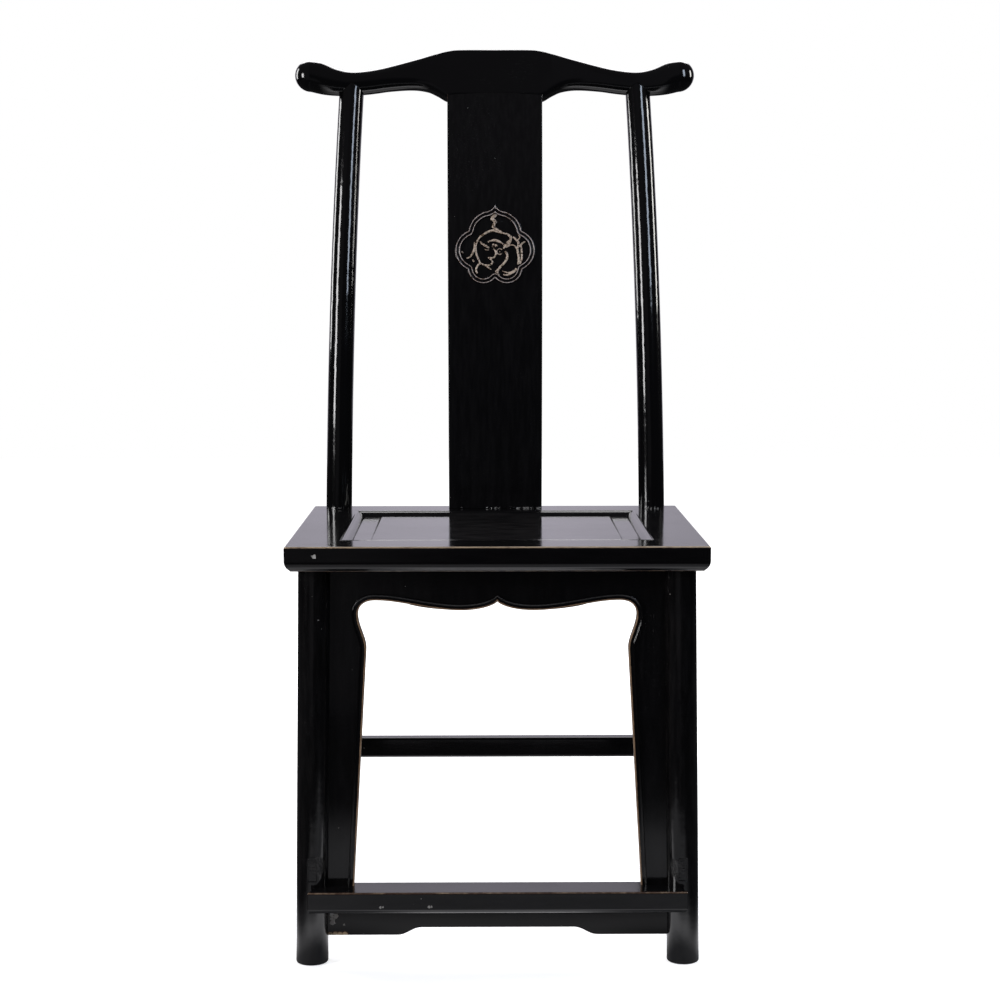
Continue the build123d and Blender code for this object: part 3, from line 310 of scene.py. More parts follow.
def smooth_path(points, start=None, end=None, step=0.0015):
    """Points along a clamped cubic curve through the given ones, about a step apart."""
    points = np.asarray(points, float)
    gaps = np.linalg.norm(np.diff(points, axis=0), axis=1)
    count = len(points)
    system = np.zeros((count, count))
    target = np.zeros_like(points)
    for row in range(1, count - 1):
        before, after = gaps[row - 1], gaps[row]
        system[row, row - 1: row + 2] = after, 2.0 * (before + after), before
        came = (points[row] - points[row - 1]) / before
        goes = (points[row + 1] - points[row]) / after
        target[row] = 3.0 * (came * after + goes * before)
    for row, direction, other in ((0, start, 1), (count - 1, end, count - 2)):
        if direction is None:
            system[row, row], system[row, other] = 2.0, 1.0
            near = gaps[0] if row == 0 else gaps[-1]
            target[row] = 3.0 * (points[max(row, other)] - points[min(row, other)]) / near
        else:
            system[row, row] = 1.0
            target[row] = np.asarray(direction, float) / np.linalg.norm(direction)
    slopes = np.linalg.solve(system, target)
    path = []
    for row, gap in enumerate(gaps):
        pieces = max(2, int(math.ceil(gap / step)))
        for share in np.arange(pieces) / pieces:
            path.append(between(*points[row: row + 2], *slopes[row: row + 2], gap, share))
    path.append(points[-1])
    return np.array(path)


def path_curve(name, paths, closed):
    """A curve object with one poly spline for each path: rows of (u, v) or (u, v, radius)."""
    curve = bpy.data.curves.new(name, "CURVE")
    curve.dimensions = "3D"
    for path in paths:
        spline = curve.splines.new("POLY")
        spline.points.add(len(path) - 1)
        for point, row in zip(spline.points, path):
            point.co = (row[0], row[1], 0.0, 1.0)
            point.radius = row[2] if len(row) > 2 else 1.0
        spline.use_cyclic_u = closed
    return linked(name, curve)


def moulding_tree(label, section):
    """Geometry nodes: a moulding swept along each curve.

    section lists (place across, height) from the curve's left side to its right, both from 0 to 1.
    """
    tree = bpy.data.node_groups.new(label, "GeometryNodeTree")
    interface = tree.interface
    interface.new_socket("Geometry", in_out="INPUT", socket_type="NodeSocketGeometry")
    kinds = {"Width": "Float", "Height": "Float", "Sink": "Float", "Steps": "Int", "Material": "Material"}
    for name, kind in kinds.items():
        interface.new_socket(name, in_out="INPUT", socket_type="NodeSocket" + kind)
    interface.new_socket("Geometry", in_out="OUTPUT", socket_type="NodeSocketGeometry")

    def node(kind, links=None, settings=None):
        made = tree.nodes.new(kind)
        for key, value in (settings or {}).items():
            setattr(made, key, value)
        for key, value in (links or {}).items():
            if isinstance(value, bpy.types.NodeSocket):
                tree.links.new(value, made.inputs[key])
            else:
                made.inputs[key].default_value = value
        return made

    def number(operation, *values):
        return node("ShaderNodeMath", dict(enumerate(values)), {"operation": operation}).outputs[0]

    given = node("NodeGroupInput").outputs
    ring = {"Resolution": given["Steps"], "Radius": 1.0}
    marked = node("GeometryNodeCurvePrimitiveCircle", ring, {"mode": "RADIUS"})
    spot = node("ShaderNodeSeparateXYZ", {0: node("GeometryNodeInputPosition").outputs[0]}).outputs
    # The circle's upper half becomes the moulding's face and its lower half the flat underside.
    share = number("MULTIPLY_ADD", spot["X"], 0.5, 0.5)
    face_curve = node("ShaderNodeFloatCurve", {"Value": share})
    line = face_curve.mapping.curves[0]
    line.points[0].location = section[0]
    line.points[1].location = section[-1]
    for place in section[1:-1]:
        line.points.new(*place)
    face_curve.mapping.update()
    upper = number("GREATER_THAN", spot["Y"], 0.0001)
    top = number("MULTIPLY", face_curve.outputs[0], upper)
    low = number("MULTIPLY", number("SUBTRACT", 1.0, upper), given["Sink"])
    up = number("SUBTRACT", number("MULTIPLY", top, given["Height"]), low)
    across = number("MULTIPLY", spot["X"], number("MULTIPLY", given["Width"], 0.5))
    outline = node("ShaderNodeCombineXYZ", {"X": across, "Y": number("MULTIPLY", up, -1.0)}).outputs[0]
    store = {"data_type": "FLOAT", "domain": "POINT"}
    for name, value in (("across", spot["X"]), ("crown", top)):
        marked = node("GeometryNodeStoreNamedAttribute", {
            "Geometry": marked.outputs[0], "Name": name, "Value": value,
        }, store)
    profile = node("GeometryNodeSetPosition", {"Geometry": marked.outputs[0], "Position": outline})
    level = node("GeometryNodeSetCurveNormal", {"Curve": given["Geometry"]})
    sweep = node("GeometryNodeCurveToMesh", {
        "Curve": level.outputs[0], "Profile Curve": profile.outputs[0], "Fill Caps": True,
        "Scale": node("GeometryNodeInputRadius").outputs[0],
    })
    real = node("GeometryNodeRealizeInstances", {"Geometry": sweep.outputs[0]})
    clad = node("GeometryNodeSetMaterial", {"Geometry": real.outputs[0], "Material": given["Material"]})
    node("NodeGroupOutput", {"Geometry": clad.outputs[0]})
    return tree


def moulded(name, paths, closed, section, **values):
    """The mesh of a moulding swept along paths; values are the inputs of its tree, by their names."""
    source = path_curve(name + "_path", paths, closed)
    modifier = source.modifiers.new("Moulding", "NODES")
    modifier.node_group = moulding_tree(name + "_moulding", section)
    for item in modifier.node_group.interface.items_tree:
        if item.item_type == "SOCKET" and item.in_out == "INPUT" and item.name in values:
            modifier[item.identifier] = values[item.name]
    return baked(source, name)


# ---- places on the chair ----
def lean_at(height):
    """The back's shift and angle at a height on its upper, quicker bend."""
    angle = math.asin(math.sin(LEAN_MIDDLE_ANGLE) + (height - LEAN_MIDDLE) / BACK_BEND_RADIUS)
    shift = LEAN_MIDDLE_SHIFT + BACK_BEND_RADIUS * (math.cos(LEAN_MIDDLE_ANGLE) - math.cos(angle))
    return shift, angle


def on_splat(points):
    """Maps rows of (u, v, height above the splat's face) round the medallion's centre to the chair."""
    shift, angle = lean_at(MEDALLION_HEIGHT)
    up = np.array([0.0, math.sin(angle), math.cos(angle)])
    out = np.array([0.0, -math.cos(angle), math.sin(angle)])
    origin = np.array([0.0, POST_Y + shift, MEDALLION_HEIGHT]) + SPLAT_FRONT * out
    rows = np.asarray(points, float)
    sag = rows[:, 1] ** 2 / (2.0 * BACK_BEND_RADIUS)
    along = np.outer(rows[:, 0], (1.0, 0.0, 0.0)) + np.outer(rows[:, 1], up)
    return origin + along + np.outer(rows[:, 2] - sag, out)


def on_front_board(points):
    """Maps rows of (u, v, height above the board's face) to the front boards."""
    rows = np.asarray(points, float)
    return np.column_stack([rows[:, 0], FRONT_BOARD_FACE_Y - rows[:, 2], rows[:, 1]])


# ---- lacquer ----
def lacquer(name, wear=0.3, along=(1.0, 1.0, 0.12), wave=0.3, brush=0.03, haze=0.0, lines=(), chips=(),
            pitted=(), dust=(), crown=None, grain=0.0, ease=True, ior=1.5, wood=None, under=None):
    """Black lacquer over a brown undercoat and wood, rubbed through at the edges.

    wave and brush are the depths, in millimetres, of the planed swell and of the brush marks along the piece,
    and haze is how much the brush marks show in its colour.
    lines are arrises worn along their whole length: (places by axis, reach, strength).
    chips are spots down to the chalky ground and pitted ones have a rough coat: (x, y, z, radius, strength).
    dust is lines of chalk: (places by axis, reach, the axis that it runs along, its start and its end).
    crown names an attribute that is 1 where a carving is worn most, and grain is how broken that wear is.
    wood and under replace the colours of the bare wood and of the undercoat.
    """
    look = bpy.context.scene.chair_lacquer
    material = bpy.data.materials.new(name)
    graph = Graph(material)
    place = graph.place()
    axis = dict(zip("XYZ", graph.axes(place)))

    def away_from(places):
        """Distance from a line, or from a plane, given by its places on some axes."""
        total = None
        for letter, value in places.items():
            square = (axis[letter] - value) ** 2.0
            total = square if total is None else total + square
        return total ** 0.5

    def vector(operation, one, other):
        """A vector operation that gives a number."""
        return graph.node("VectorMath", {0: one, 1: other}, {"operation": operation}, output=1)

    def near(x, y, z):
        """Distance from a place."""
        return vector("DISTANCE", place, (x, y, z))

    broad = graph.noise(place, 12.0, 2.0)
    fine = graph.noise(place, 170.0, 3.0, 0.6)
    patch = graph.noise(place, 50.0, 3.0, 0.6)
    swell = graph.noise(graph.stretch(place, along), 34.0, 2.0)
    strokes = graph.noise(graph.stretch(place, along), 210.0, 3.0, 0.6)

    # Wear starts where the surface turns sharply.
    if ease:
        eased = graph.node("Bevel", {"Radius": look.edge_width}, {"samples": 6})
        flat = graph.node("NewGeometry", output=1)
        edge = (1.0 - vector("DOT_PRODUCT", eased, flat)).over(0.01, 0.20) * wear
    else:
        edge = (patch - 0.5) * 0.02
    for places, reach, strength in lines:
        uneven = 1.0 + (patch - 0.5) * 1.2
        edge = edge.math("MAXIMUM", (away_from(places) * uneven).over(reach, reach * 0.35) * strength)
    if crown:
        carved = graph.node("Attribute", settings={"attribute_name": crown}, output=2)
        edge = edge.math("MAXIMUM", carved)
    rubbed = edge + ((patch - 0.5) * 0.7 + (fine - 0.5) * 0.4) * edge.over(0.05, 0.3)
    if grain:
        speck = graph.noise(place, 460.0, 3.0, 0.7)
        rubbed = rubbed + (speck - 0.5) * (5.0 * grain) * edge.over(0.05, 0.3)
    thin = rubbed.over(0.20, 0.55)
    bare = rubbed.over(0.50, 0.95)

    # Nibs in the coat, hairline scratches, and chips at known places.
    cells = {"Vector": place, "Scale": 110.0}
    spot = graph.node("TexVoronoi", cells)
    tint = graph.node("TexVoronoi", cells, output=1)
    pick = graph.node("SeparateColor", {0: tint})
    nib = spot.over(0.07, 0.03) * pick.over(0.955, 0.965)
    lengthwise = tuple(2.0 if value < 0.5 else 12.0 for value in along)
    hair = graph.noise(graph.stretch(place, lengthwise), 26.0, 1.0)
    scratch = (hair - 0.5).math("ABSOLUTE").over(0.0022, 0.0006) * broad.over(0.58, 0.68)
    chalk = nib * 0.6
    for x, y, z, radius, strength in chips:
        uneven = near(x, y, z) + (fine - 0.5) * radius * 2.4
        chalk = chalk.math("MAXIMUM", uneven.over(radius, radius * 0.5) * strength)
    pit = None
    for x, y, z, radius, strength in pitted:
        spread = (near(x, y, z) + (patch - 0.5) * radius * 1.5).over(radius, radius * 0.4) * strength
        pit = spread if pit is None else pit.math("MAXIMUM", spread)
    for places, reach, letter, start, end in dust:
        within = axis[letter].over(start, start + 0.002) * axis[letter].over(end, end - 0.002)
        crumbs = graph.noise(place, 330.0, 3.0, 0.7).over(0.50, 0.60)
        clumps = graph.noise(place, 42.0, 2.0).over(0.50, 0.60)
        line = away_from(places).over(reach, reach * 0.4)
        chalk = chalk.math("MAXIMUM", line * within * (crumbs * clumps) * 0.7)

    color = graph.mix(thin, tuple(look.black), tuple(under or look.undercoat))
    color = graph.mix(bare, color, tuple(wood or look.wood))
    if haze:
        color = graph.mix(strokes.over(0.3, 0.75) * haze, color, (0.045, 0.042, 0.042))
    color = graph.mix(chalk * 0.85, color, tuple(look.chalk))
    color = graph.mix(scratch * 0.03, color, tuple(look.chalk))
    rough = look.polish + broad.over(0.35, 0.75) * 0.04 + fine * 0.02 + scratch * 0.15
    rough = rough + thin * 0.20 + chalk * 0.4

    # Heights are in millimetres.
    height = broad * wave + swell * (0.12 * wave) + strokes * brush + fine * 0.004
    height = height - bare * 0.06 - chalk * 0.15
    if grain:
        height = height + speck * (0.30 * grain)
    if pitted:
        rubble = graph.noise(place, 330.0, 3.0, 0.7)
        height = height + pit * (rubble - 0.5) * 1.3
        rough = rough + pit * 0.05
    sockets = {"Strength": 1.0, "Distance": MILLIMETRE, "Height": height}
    if ease:
        sockets["Normal"] = eased
    bump = graph.node("Bump", sockets)
    graph.surface({"Base Color": color, "Roughness": rough, "Normal": bump, "IOR": ior})
    return material


def carved_lacquer(name, **given):
    """Lacquer on a carving, worn on its crowns."""
    return lacquer(name, wear=0.0, along=(1.0, 1.0, 1.0), brush=0.01, crown="worn", ease=False, **given)


def bamboo():
    """Bare bamboo pegs, with fibre ends."""
    material = bpy.data.materials.new("bamboo_peg")
    graph = Graph(material)
    place = graph.place()
    fibre = graph.node("TexVoronoi", {"Vector": place, "Scale": 1700.0})
    streak = graph.noise(graph.stretch(place, (1.0, 1.0, 0.1)), 900.0, 2.0)
    color = graph.mix(fibre.over(0.5, 0.1), (0.34, 0.22, 0.11), (0.10, 0.055, 0.025))
    color = graph.mix(streak * 0.5, color, (0.46, 0.33, 0.18))
    bump = graph.node("Bump", {"Strength": 0.3, "Distance": 0.3 * MILLIMETRE, "Height": fibre})
    graph.surface({"Base Color": color, "Roughness": 0.45 + streak * 0.2, "Normal": bump})
    return material


def finish(names, material):
    """Gives CAD nodes a material in their first slot."""
    for name in names:
        nodes[name].material_slots[0].material = material


def coat(name, names, **given):
    """Finishes CAD nodes in a lacquer of their own."""
    finish(names, lacquer("lacquer_" + name, **given))


# ---- operators ----
class CHAIR_OT_stage(bpy.types.Operator):
    """Set up the floor, the lights, the world and the camera"""

    bl_idname = "chair.stage"
    bl_label = "Set the Stage"

    # name, place, what it faces, width, height, light leaving it, colour
    lamps = (
        ("overhead", (0.0, 1.9, 2.6), (0.0, -0.3, 0.0), 2.4, 1.4, 6.0, (1.0, 0.99, 1.0)),
        ("left_window", (-2.26, -1.52, 1.22), (-0.2, 0.2, 1.0), 0.70, 1.26, 17.0, (1.0, 0.99, 1.0)),
        ("right_window", (0.86, -0.86, 1.49), (0.1, 0.2, 1.0), 0.32, 0.98, 10.0, (0.80, 0.92, 1.10)),
        ("right_strip", (2.4, 0.35, 1.52), (0.0, 0.1, 1.0), 0.50, 1.10, 16.0, (1.0, 0.99, 0.95)),
        ("left_back", (-2.0, 1.00, 1.45), (0.0, 0.15, 1.0), 0.60, 1.35, 9.0, (1.0, 1.0, 1.0)),
    )
    floor_corners = ((-5.0, -1.7, 0.0), (5.0, -1.7, 0.0), (5.0, 7.0, 0.0), (-5.0, 7.0, 0.0))
    camera_place = (-0.0160426, -2.6614777, 0.8162391)
    camera_yaw, camera_pitch, camera_roll = 0.0079114644, 0.1040310009, -0.0008610908

    def light_world(self, scene, look):
        """A dim room with a backdrop behind the chair; plain white where the camera sees it."""
        world = bpy.data.worlds.new("studio")
        scene.world = world
        graph = Graph(world)
        east, back, up = graph.axes(graph.node("TexCoord"))
        wall = back.over(0.64, 0.84)
        room = graph.mix(up.over(0.02, 0.5), (0.020, 0.020, 0.022), (0.070, 0.066, 0.070))
        west = east.over(-0.015, -0.075) * east.over(-0.65, -0.35)
        room = graph.mix(west, room, (0.086, 0.084, 0.090))
        falling = 1.0 - east.over(0.01, 0.13) * 0.26 - east.over(0.0, -0.13) * 0.16
        hung = graph.mix(falling, (0.0, 0.0, 0.0), tuple(look.backdrop))
        dim = graph.mix(wall, room, hung)
        seen = graph.node("LightPath")
        shade = graph.mix(seen, dim, (1.0, 1.0, 1.0))
        light = graph.node("Background", {"Color": shade, "Strength": 1.0})
        graph.node("OutputWorld", {"Surface": light})

    def lay_floor(self, look):
        """White where the camera sees it. In reflections it is nearly black, with a painted pool of grey
        light round the chair and a painted glow under the chair, holed by painted shadows round the front
        feet.
        """
        mesh = bpy.data.meshes.new("floor")
        mesh.from_pydata(self.floor_corners, [], [(0, 1, 2, 3)])
        floor = linked("floor", mesh)
        material = bpy.data.materials.new("floor")
        graph = Graph(material)
        x, y, _ = graph.axes(graph.place())
        side = x.math("ABSOLUTE")
        # Painted pool of light: in reflections the floor is pale grey only round the chair and nearly black
        # elsewhere.
        painted_pool = side.over(0.52, 0.28) * y.over(-0.98, -0.72) * y.over(1.6, 1.1)
        pale = graph.mix(painted_pool, (0.030, 0.030, 0.032), (0.44, 0.435, 0.44))
        dull = graph.node("BsdfDiffuse", {"Color": pale})
        # Painted glow: a patch under the chair that shines only in reflections, with painted shadows round
        # the front feet cut out of it.
        from_foot = ((side - 0.215) ** 2.0 + (y + 0.25) ** 2.0) ** 0.5
        within = y.over(-0.47, -0.36) * y.over(0.5, 0.3) * side.over(0.42, 0.24)
        under = within * from_foot.over(0.05, 0.15)
        mirrored = graph.node("LightPath", output=3)
        # The painted glow, seen only by glossy rays.
        painted_glow = graph.node("Emission", {
            "Color": (1.0, 0.99, 1.02), "Strength": under * mirrored * 1.25,
        })
        paper = graph.node("AddShader", {0: dull, 1: painted_glow})
        far = (x * x + y * y) ** 0.5
        glow = graph.node("Emission", {
            "Color": (1.0, 1.0, 1.0), "Strength": 0.62 + far.over(0.6, 1.3) * 0.4,
        })
        seen_paper = graph.node("BsdfDiffuse", {"Color": tuple(look.floor)})
        bright = graph.node("AddShader", {0: seen_paper, 1: glow})
        seen = graph.node("LightPath")
        shader = graph.node("MixShader", {0: seen, 1: paper, 2: bright})
        graph.node("OutputMaterial", {"Surface": shader})
        mesh.materials.append(material)

    def hang_lamps(self):
        for name, spot, aim, width, height, leaving, color in self.lamps:
            data = bpy.data.lights.new(name, "AREA")
            data.shape = "RECTANGLE"
            data.size = width
            data.size_y = height
            data.energy = leaving * width * height * math.pi
            data.color = color
            turn = (Vector(aim) - Vector(spot)).to_track_quat("-Z", "Y")
            linked(name, data).matrix_world = Matrix.Translation(spot) @ turn.to_matrix().to_4x4()

    def place_camera(self, scene, look):
        data = bpy.data.cameras.new("camera")
        data.sensor_fit = "HORIZONTAL"
        data.sensor_width = 36.0
        data.lens = look.lens
        data.clip_end = 50.0
        camera = linked("camera", data)
        yaw, pitch, roll = self.camera_yaw, self.camera_pitch, self.camera_roll
        level = math.cos(pitch)
        ahead = Vector((math.sin(yaw) * level, math.cos(yaw) * level, -math.sin(pitch)))
        right = Vector((math.cos(yaw), -math.sin(yaw), 0.0))
        up = right.cross(ahead)
        side = right * math.cos(roll) + up * math.sin(roll)
        top = up * math.cos(roll) - right * math.sin(roll)
        turn = Matrix((side, top, -ahead)).transposed()
        camera.matrix_world = Matrix.Translation(self.camera_place) @ turn.to_4x4()
        scene.camera = camera

    def execute(self, context):
        scene = context.scene
        scene.view_settings.view_transform = "Standard"
        self.light_world(scene, scene.chair_stage)
        self.lay_floor(scene.chair_stage)
        self.hang_lamps()
        self.place_camera(scene, scene.chair_stage)
        return {"FINISHED"}


class CHAIR_OT_crest(bpy.types.Operator):
    """Shape the crest rail as one smooth carving"""

    bl_idname = "chair.crest"
    bl_label = "Shape the Crest Rail"

    # X, top, bottom, half depth in millimetres, and how round the section is
    rows = (
        (0.0, 61.5, -7.3, 15.0, 0.0), (50.51, 61.3, -7.3, 15.0, 0.0), (64.75, 59.3, -7.3, 15.0, 0.0),
        (78.5, 55.57, 0.15, 15.3, 0.15), (90.87, 52.45, 5.36, 15.6, 0.35), (110.58, 47.46, 7.6, 16.0, 0.6),
        (140.37, 39.66, 5.2, 16.6, 0.85), (168.46, 33.11, 0.88, 17.0, 1.0), (195.7, 30.3, -2.0, 17.0, 1.0),
        (215.25, 34.28, -2.45, 18.2, 1.0), (234.25, 42.09, -1.01, 20.2, 1.0),
        (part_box("crest_rail")[1].x * 1000.0 - 21.0, 44.5, 2.5, 21.0, 1.0),
    )
    least_round, full_round = 0.007, 0.96   # corner's least radius, and its greatest as a share of the half
    lean_reach, lean_fade = 0.125, 0.05     # where the headrest's lean ends, and how far it takes to fade
    soft = 0.0010                           # how softly the headrest's bands meet
    sharp = 30.0                            # past this many times soft, the meeting is over

    def station(self, index, share):
        """A row between two of the list, on a smooth curve through their neighbours."""
        rows = np.array(self.rows)
        before, low, high, after = rows[np.clip(np.arange(index - 1, index + 3), 0, len(rows) - 1)]
        slope_low = (high - before) / (high[0] - before[0])
        slope_high = (after - low) / (after[0] - low[0])
        return between(low, high, slope_low, slope_high, high[0] - low[0], share)

    def ring(self, row, look):
        """The section at one station, as points (depth, height) in metres."""
        rounding = row[4]
        x, top, bottom, half_depth = row[:4] * MILLIMETRE
        half_height = (top - bottom) / 2.0
        full = self.full_round * min(half_depth, half_height)
        corner = min(self.least_round, full) * (1.0 - rounding) + full * rounding
        corner = min(corner, half_height, half_depth)

        def on_corner(quarter, degrees):
            side, rise = ((1, 1), (-1, 1), (-1, -1), (1, -1))[quarter % 4]
            turn = math.radians(90.0 * (quarter % 4) + degrees)
            return np.array((
                side * (half_depth - corner) + corner * math.cos(turn),
                rise * (half_height - corner) + corner * math.sin(turn),
            ))

        points = []
        for quarter in range(4):
            points += [on_corner(quarter, degrees) for degrees in np.linspace(0.0, 90.0, 13)]
            begin, end = points[-1], on_corner(quarter + 1, 0.0)
            points += [begin + (end - begin) * share / 8.0 for share in range(1, 8)]
        points = np.array(points)
        behind = look.bow * (1.0 - (x / POST_TOP_X) ** 2)
        points[:, 0] += behind
        points[:, 1] += (top + bottom) / 2.0
        # The headrest's upper band leans back, and the lean dies away towards the wings.
        start = self.rows[0][1] * MILLIMETRE - look.facet_drop
        slope = look.facet_lean / look.facet_drop
        front = look.bow - self.rows[0][3] * MILLIMETRE
        limit = front + slope * (points[:, 1] - start)
        reach = np.clip((self.lean_reach - abs(x)) / self.lean_fade, 0.0, 1.0)
        reach = reach * reach * (3.0 - 2.0 * reach)
        limit = points[:, 0] + (limit - points[:, 0]) * reach - (1.0 - reach) * 0.004
        gap = (limit - points[:, 0]) / self.soft
        rounded = np.log1p(np.exp(np.minimum(gap, self.sharp)))
        points[:, 0] += self.soft * np.where(gap > self.sharp, gap, rounded) * reach
        return points

    def execute(self, context):
        look = context.scene.chair_crest
        spans = len(self.rows) - 1
        half = [self.station(index, share) for index in range(spans) for share in np.arange(10) / 10.0]
        ball_x, ball_height = self.rows[-1][0], (self.rows[-1][1] + self.rows[-1][2]) / 2.0
        radius = look.ball_radius / MILLIMETRE
        for turn in (0, 8, 16, 24, 32, 40, 48, 56, 63, 70, 76, 81, 85, 88):
            rise = radius * math.cos(math.radians(turn))
            x = ball_x + radius * math.sin(math.radians(turn))
            half.append(np.array((x, ball_height + rise, ball_height - rise, rise, 1.0)))
        stations = [row * np.array((-1, 1, 1, 1, 1)) for row in reversed(half[1:])] + half
        up = np.array([0.0, math.sin(LEAN_TOP_ANGLE), math.cos(LEAN_TOP_ANGLE)])
        back = np.array([0.0, math.cos(LEAN_TOP_ANGLE), -math.sin(LEAN_TOP_ANGLE)])
        origin = np.array([0.0, POST_Y + LEAN_TOP_SHIFT, LEAN_TOP])
        points, faces = [], []
        for row in stations:
            ring = self.ring(row, look)
            for depth, height in ring:
                points.append(origin + back * depth + up * height + (row[0] * MILLIMETRE, 0.0, 0.0))
        around = len(ring)
        for number in range(len(stations) - 1):
            low, high = number * around, (number + 1) * around
            for k in range(around):
                after = (k + 1) % around
                faces.append((low + k, low + after, high + after, high + k))
        for first, side in ((0, -1), ((len(stations) - 1) * around, 1)):
            tip = np.mean(points[first: first + around], axis=0)
            tip[0] = side * (ball_x + radius) * MILLIMETRE
            points.append(tip)
            for k in range(around):
                faces.append((first + k, first + (k + 1) % around, len(points) - 1))
        mesh = bpy.data.meshes.new("crest_rail_carved")
        mesh.from_pydata([tuple(point) for point in points], [], faces)
        mesh.shade_smooth()
        face_outward(mesh)
        mesh.materials.append(lacquer(
            "lacquer_crest", wear=0.12, along=(0.12, 1.0, 1.0), wave=0.7, brush=0.012))
        piece = new_piece("crest_rail_carved", mesh)
        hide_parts("crest_rail")
        return {"FINISHED"}


# The cartouche's outline round the medallion's centre, right half, in millimetres: each arc starts where
# the one before it ends, and has a point between.
CARTOUCHE = (
    (0.0, 54.0), (4.6, 47.5), (13.0, 44.0), (28.6, 34.0), (36.0, 17.8),
    (54.0, -8.4), (37.0, -34.5), (22.1, -52.7), (0.0, -46.3),
)

# The dragon's strokes, in millimetres round the same centre: (u, v, radius).
DRAGON = (
    ((0.2, 45.6, 1.5), (0.7, 40.0, 2.3), (-3.7, 34.9, 2.4), (0.2, 30.1, 2.2), (-2.3, 24.0, 2.2),
     (1.3, 21.0, 1.4), (6.7, 17.8, 1.3), (11.3, 15.1, 1.3), (16.8, 13.6, 1.5), (19.6, 10.9, 1.6)),
    ((-20.5, -26.4, 1.6), (-22.8, -20.4, 1.5), (-25.0, -14.1, 1.5), (-26.2, -7.3, 1.5), (-25.8, -0.5, 1.5),
     (-23.3, 5.5, 1.5), (-19.4, 10.4, 1.5), (-14.2, 14.1, 1.6), (-8.5, 17.2, 1.7), (-2.8, 18.6, 1.8),
     (2.5, 17.5, 1.7), (7.3, 15.5, 1.5), (11.6, 14.6, 1.3)),
    ((-28.3, 3.0, 0.8), (-27.8, -2.7, 1.3), (-29.0, -8.7, 1.5), (-31.2, -14.1, 1.5), (-34.7, -17.5, 1.3),
     (-38.8, -19.4, 1.0)),
    ((-44.8, -9.3, 1.3), (-44.3, -12.4, 1.7)),
    ((-30.6, -21.0, 1.2), (-28.5, -23.7, 1.7)),
    ((-9.6, 2.7, 1.0), (-4.8, 4.8, 1.6), (0.7, 5.2, 1.9), (5.9, 3.4, 1.6), (11.1, 0.0, 1.0)),
    ((-20.5, 4.1, 1.0), (-17.1, 0.5, 1.6), (-12.3, -2.5, 1.7), (-8.2, -5.7, 1.6)),
    ((-15.1, -6.2, 0.8), (-11.0, -8.0, 0.9), (-7.3, -7.7, 0.8)),
    ((9.7, -8.1, 0.9), (8.3, -6.7, 0.9), (6.4, -6.2, 0.9), (4.4, -6.7, 0.9), (3.0, -8.1, 0.9),
     (2.5, -10.0, 0.9), (3.0, -12.0, 0.9), (4.4, -13.4, 0.9), (6.4, -13.9, 0.9), (8.3, -13.4, 0.9),
     (9.7, -12.0, 0.9)),
    ((5.7, -9.8, 1.0), (6.8, -10.4, 1.0)),
    ((-4.1, -1.4, 0.9), (0.0, -0.7, 1.1), (3.8, -2.7, 0.9)),
    ((-2.3, -5.9, 0.9), (0.9, -10.9, 1.3), (0.2, -16.2, 1.4), (-3.7, -18.7, 1.2), (-8.7, -18.5, 1.3),
     (-5.3, -21.2, 1.2), (-3.7, -24.6, 1.4), (-6.6, -28.3, 1.4), (-11.0, -28.5, 1.3), (-15.5, -27.8, 1.2),
     (-20.5, -26.4, 1.5), (-24.4, -30.6, 1.5), (-26.0, -35.3, 1.7), (-23.9, -39.9, 1.6)),
    ((-14.4, -28.3, 1.1), (-10.3, -31.0, 1.2), (-5.3, -34.6, 1.0)),
    ((11.4, -6.2, 1.4), (14.3, -2.1, 1.4), (18.9, 1.1, 1.6), (21.4, 5.9, 1.6), (20.3, 10.0, 1.3)),
    ((14.8, -4.6, 1.0), (19.6, -1.8, 1.2), (24.4, -1.1, 1.1), (27.5, -3.2, 1.2), (29.6, -6.6, 1.3)),
    ((13.6, -9.6, 1.4), (16.4, -14.4, 1.8), (15.5, -20.7, 1.9), (11.6, -26.4, 1.7), (7.5, -30.5, 1.8),
     (3.8, -35.1, 1.9), (0.7, -38.3, 1.8)),
    ((2.7, -36.9, 1.4), (4.3, -41.0, 1.5), (5.4, -44.0, 1.1)),
    ((24.6, 10.0, 1.2), (28.2, 6.4, 1.6), (31.4, 2.7, 1.6), (31.2, -2.7, 1.5), (30.5, -7.3, 1.6),
     (31.6, -14.1, 1.8), (32.3, -21.0, 1.8), (31.0, -27.8, 1.4)),
    ((35.1, -1.8, 1.2), (36.0, -7.3, 1.4), (36.4, -14.1, 1.5), (36.2, -20.5, 1.4), (33.9, -26.9, 1.1)),
    ((32.3, -3.6, 1.0), (34.8, -1.1, 1.3), (38.3, 2.3, 1.4), (41.7, 3.2, 0.9)),
    ((11.4, -2.6, 0.9), (14.2, -0.1, 1.0), (15.8, -3.2, 0.9), (18.8, -0.1, 1.0), (20.8, 2.3, 0.9)),
    ((-4.2, -1.2, 0.8), (-1.2, 0.3, 0.9), (1.2, -1.8, 0.8), (-1.2, -4.2, 0.8), (-4.2, -3.2, 0.8)),
    ((17.8, 13.6, 1.2), (22.2, 9.0, 1.3), (19.8, 4.9, 1.2), (14.8, 2.3, 1.0)),
    ((9.8, -36.1, 0.9), (17.8, -38.7, 1.1), (25.9, -35.5, 0.9)),
    ((30.9, 13.6, 0.9), (33.5, 9.5, 1.1), (30.9, 5.9, 0.9)),
    ((29.1, -33.0, 2.0), (26.2, -37.1, 1.6), (21.6, -39.9, 1.4), (16.4, -41.9, 1.3), (11.1, -41.0, 1.0)),
)


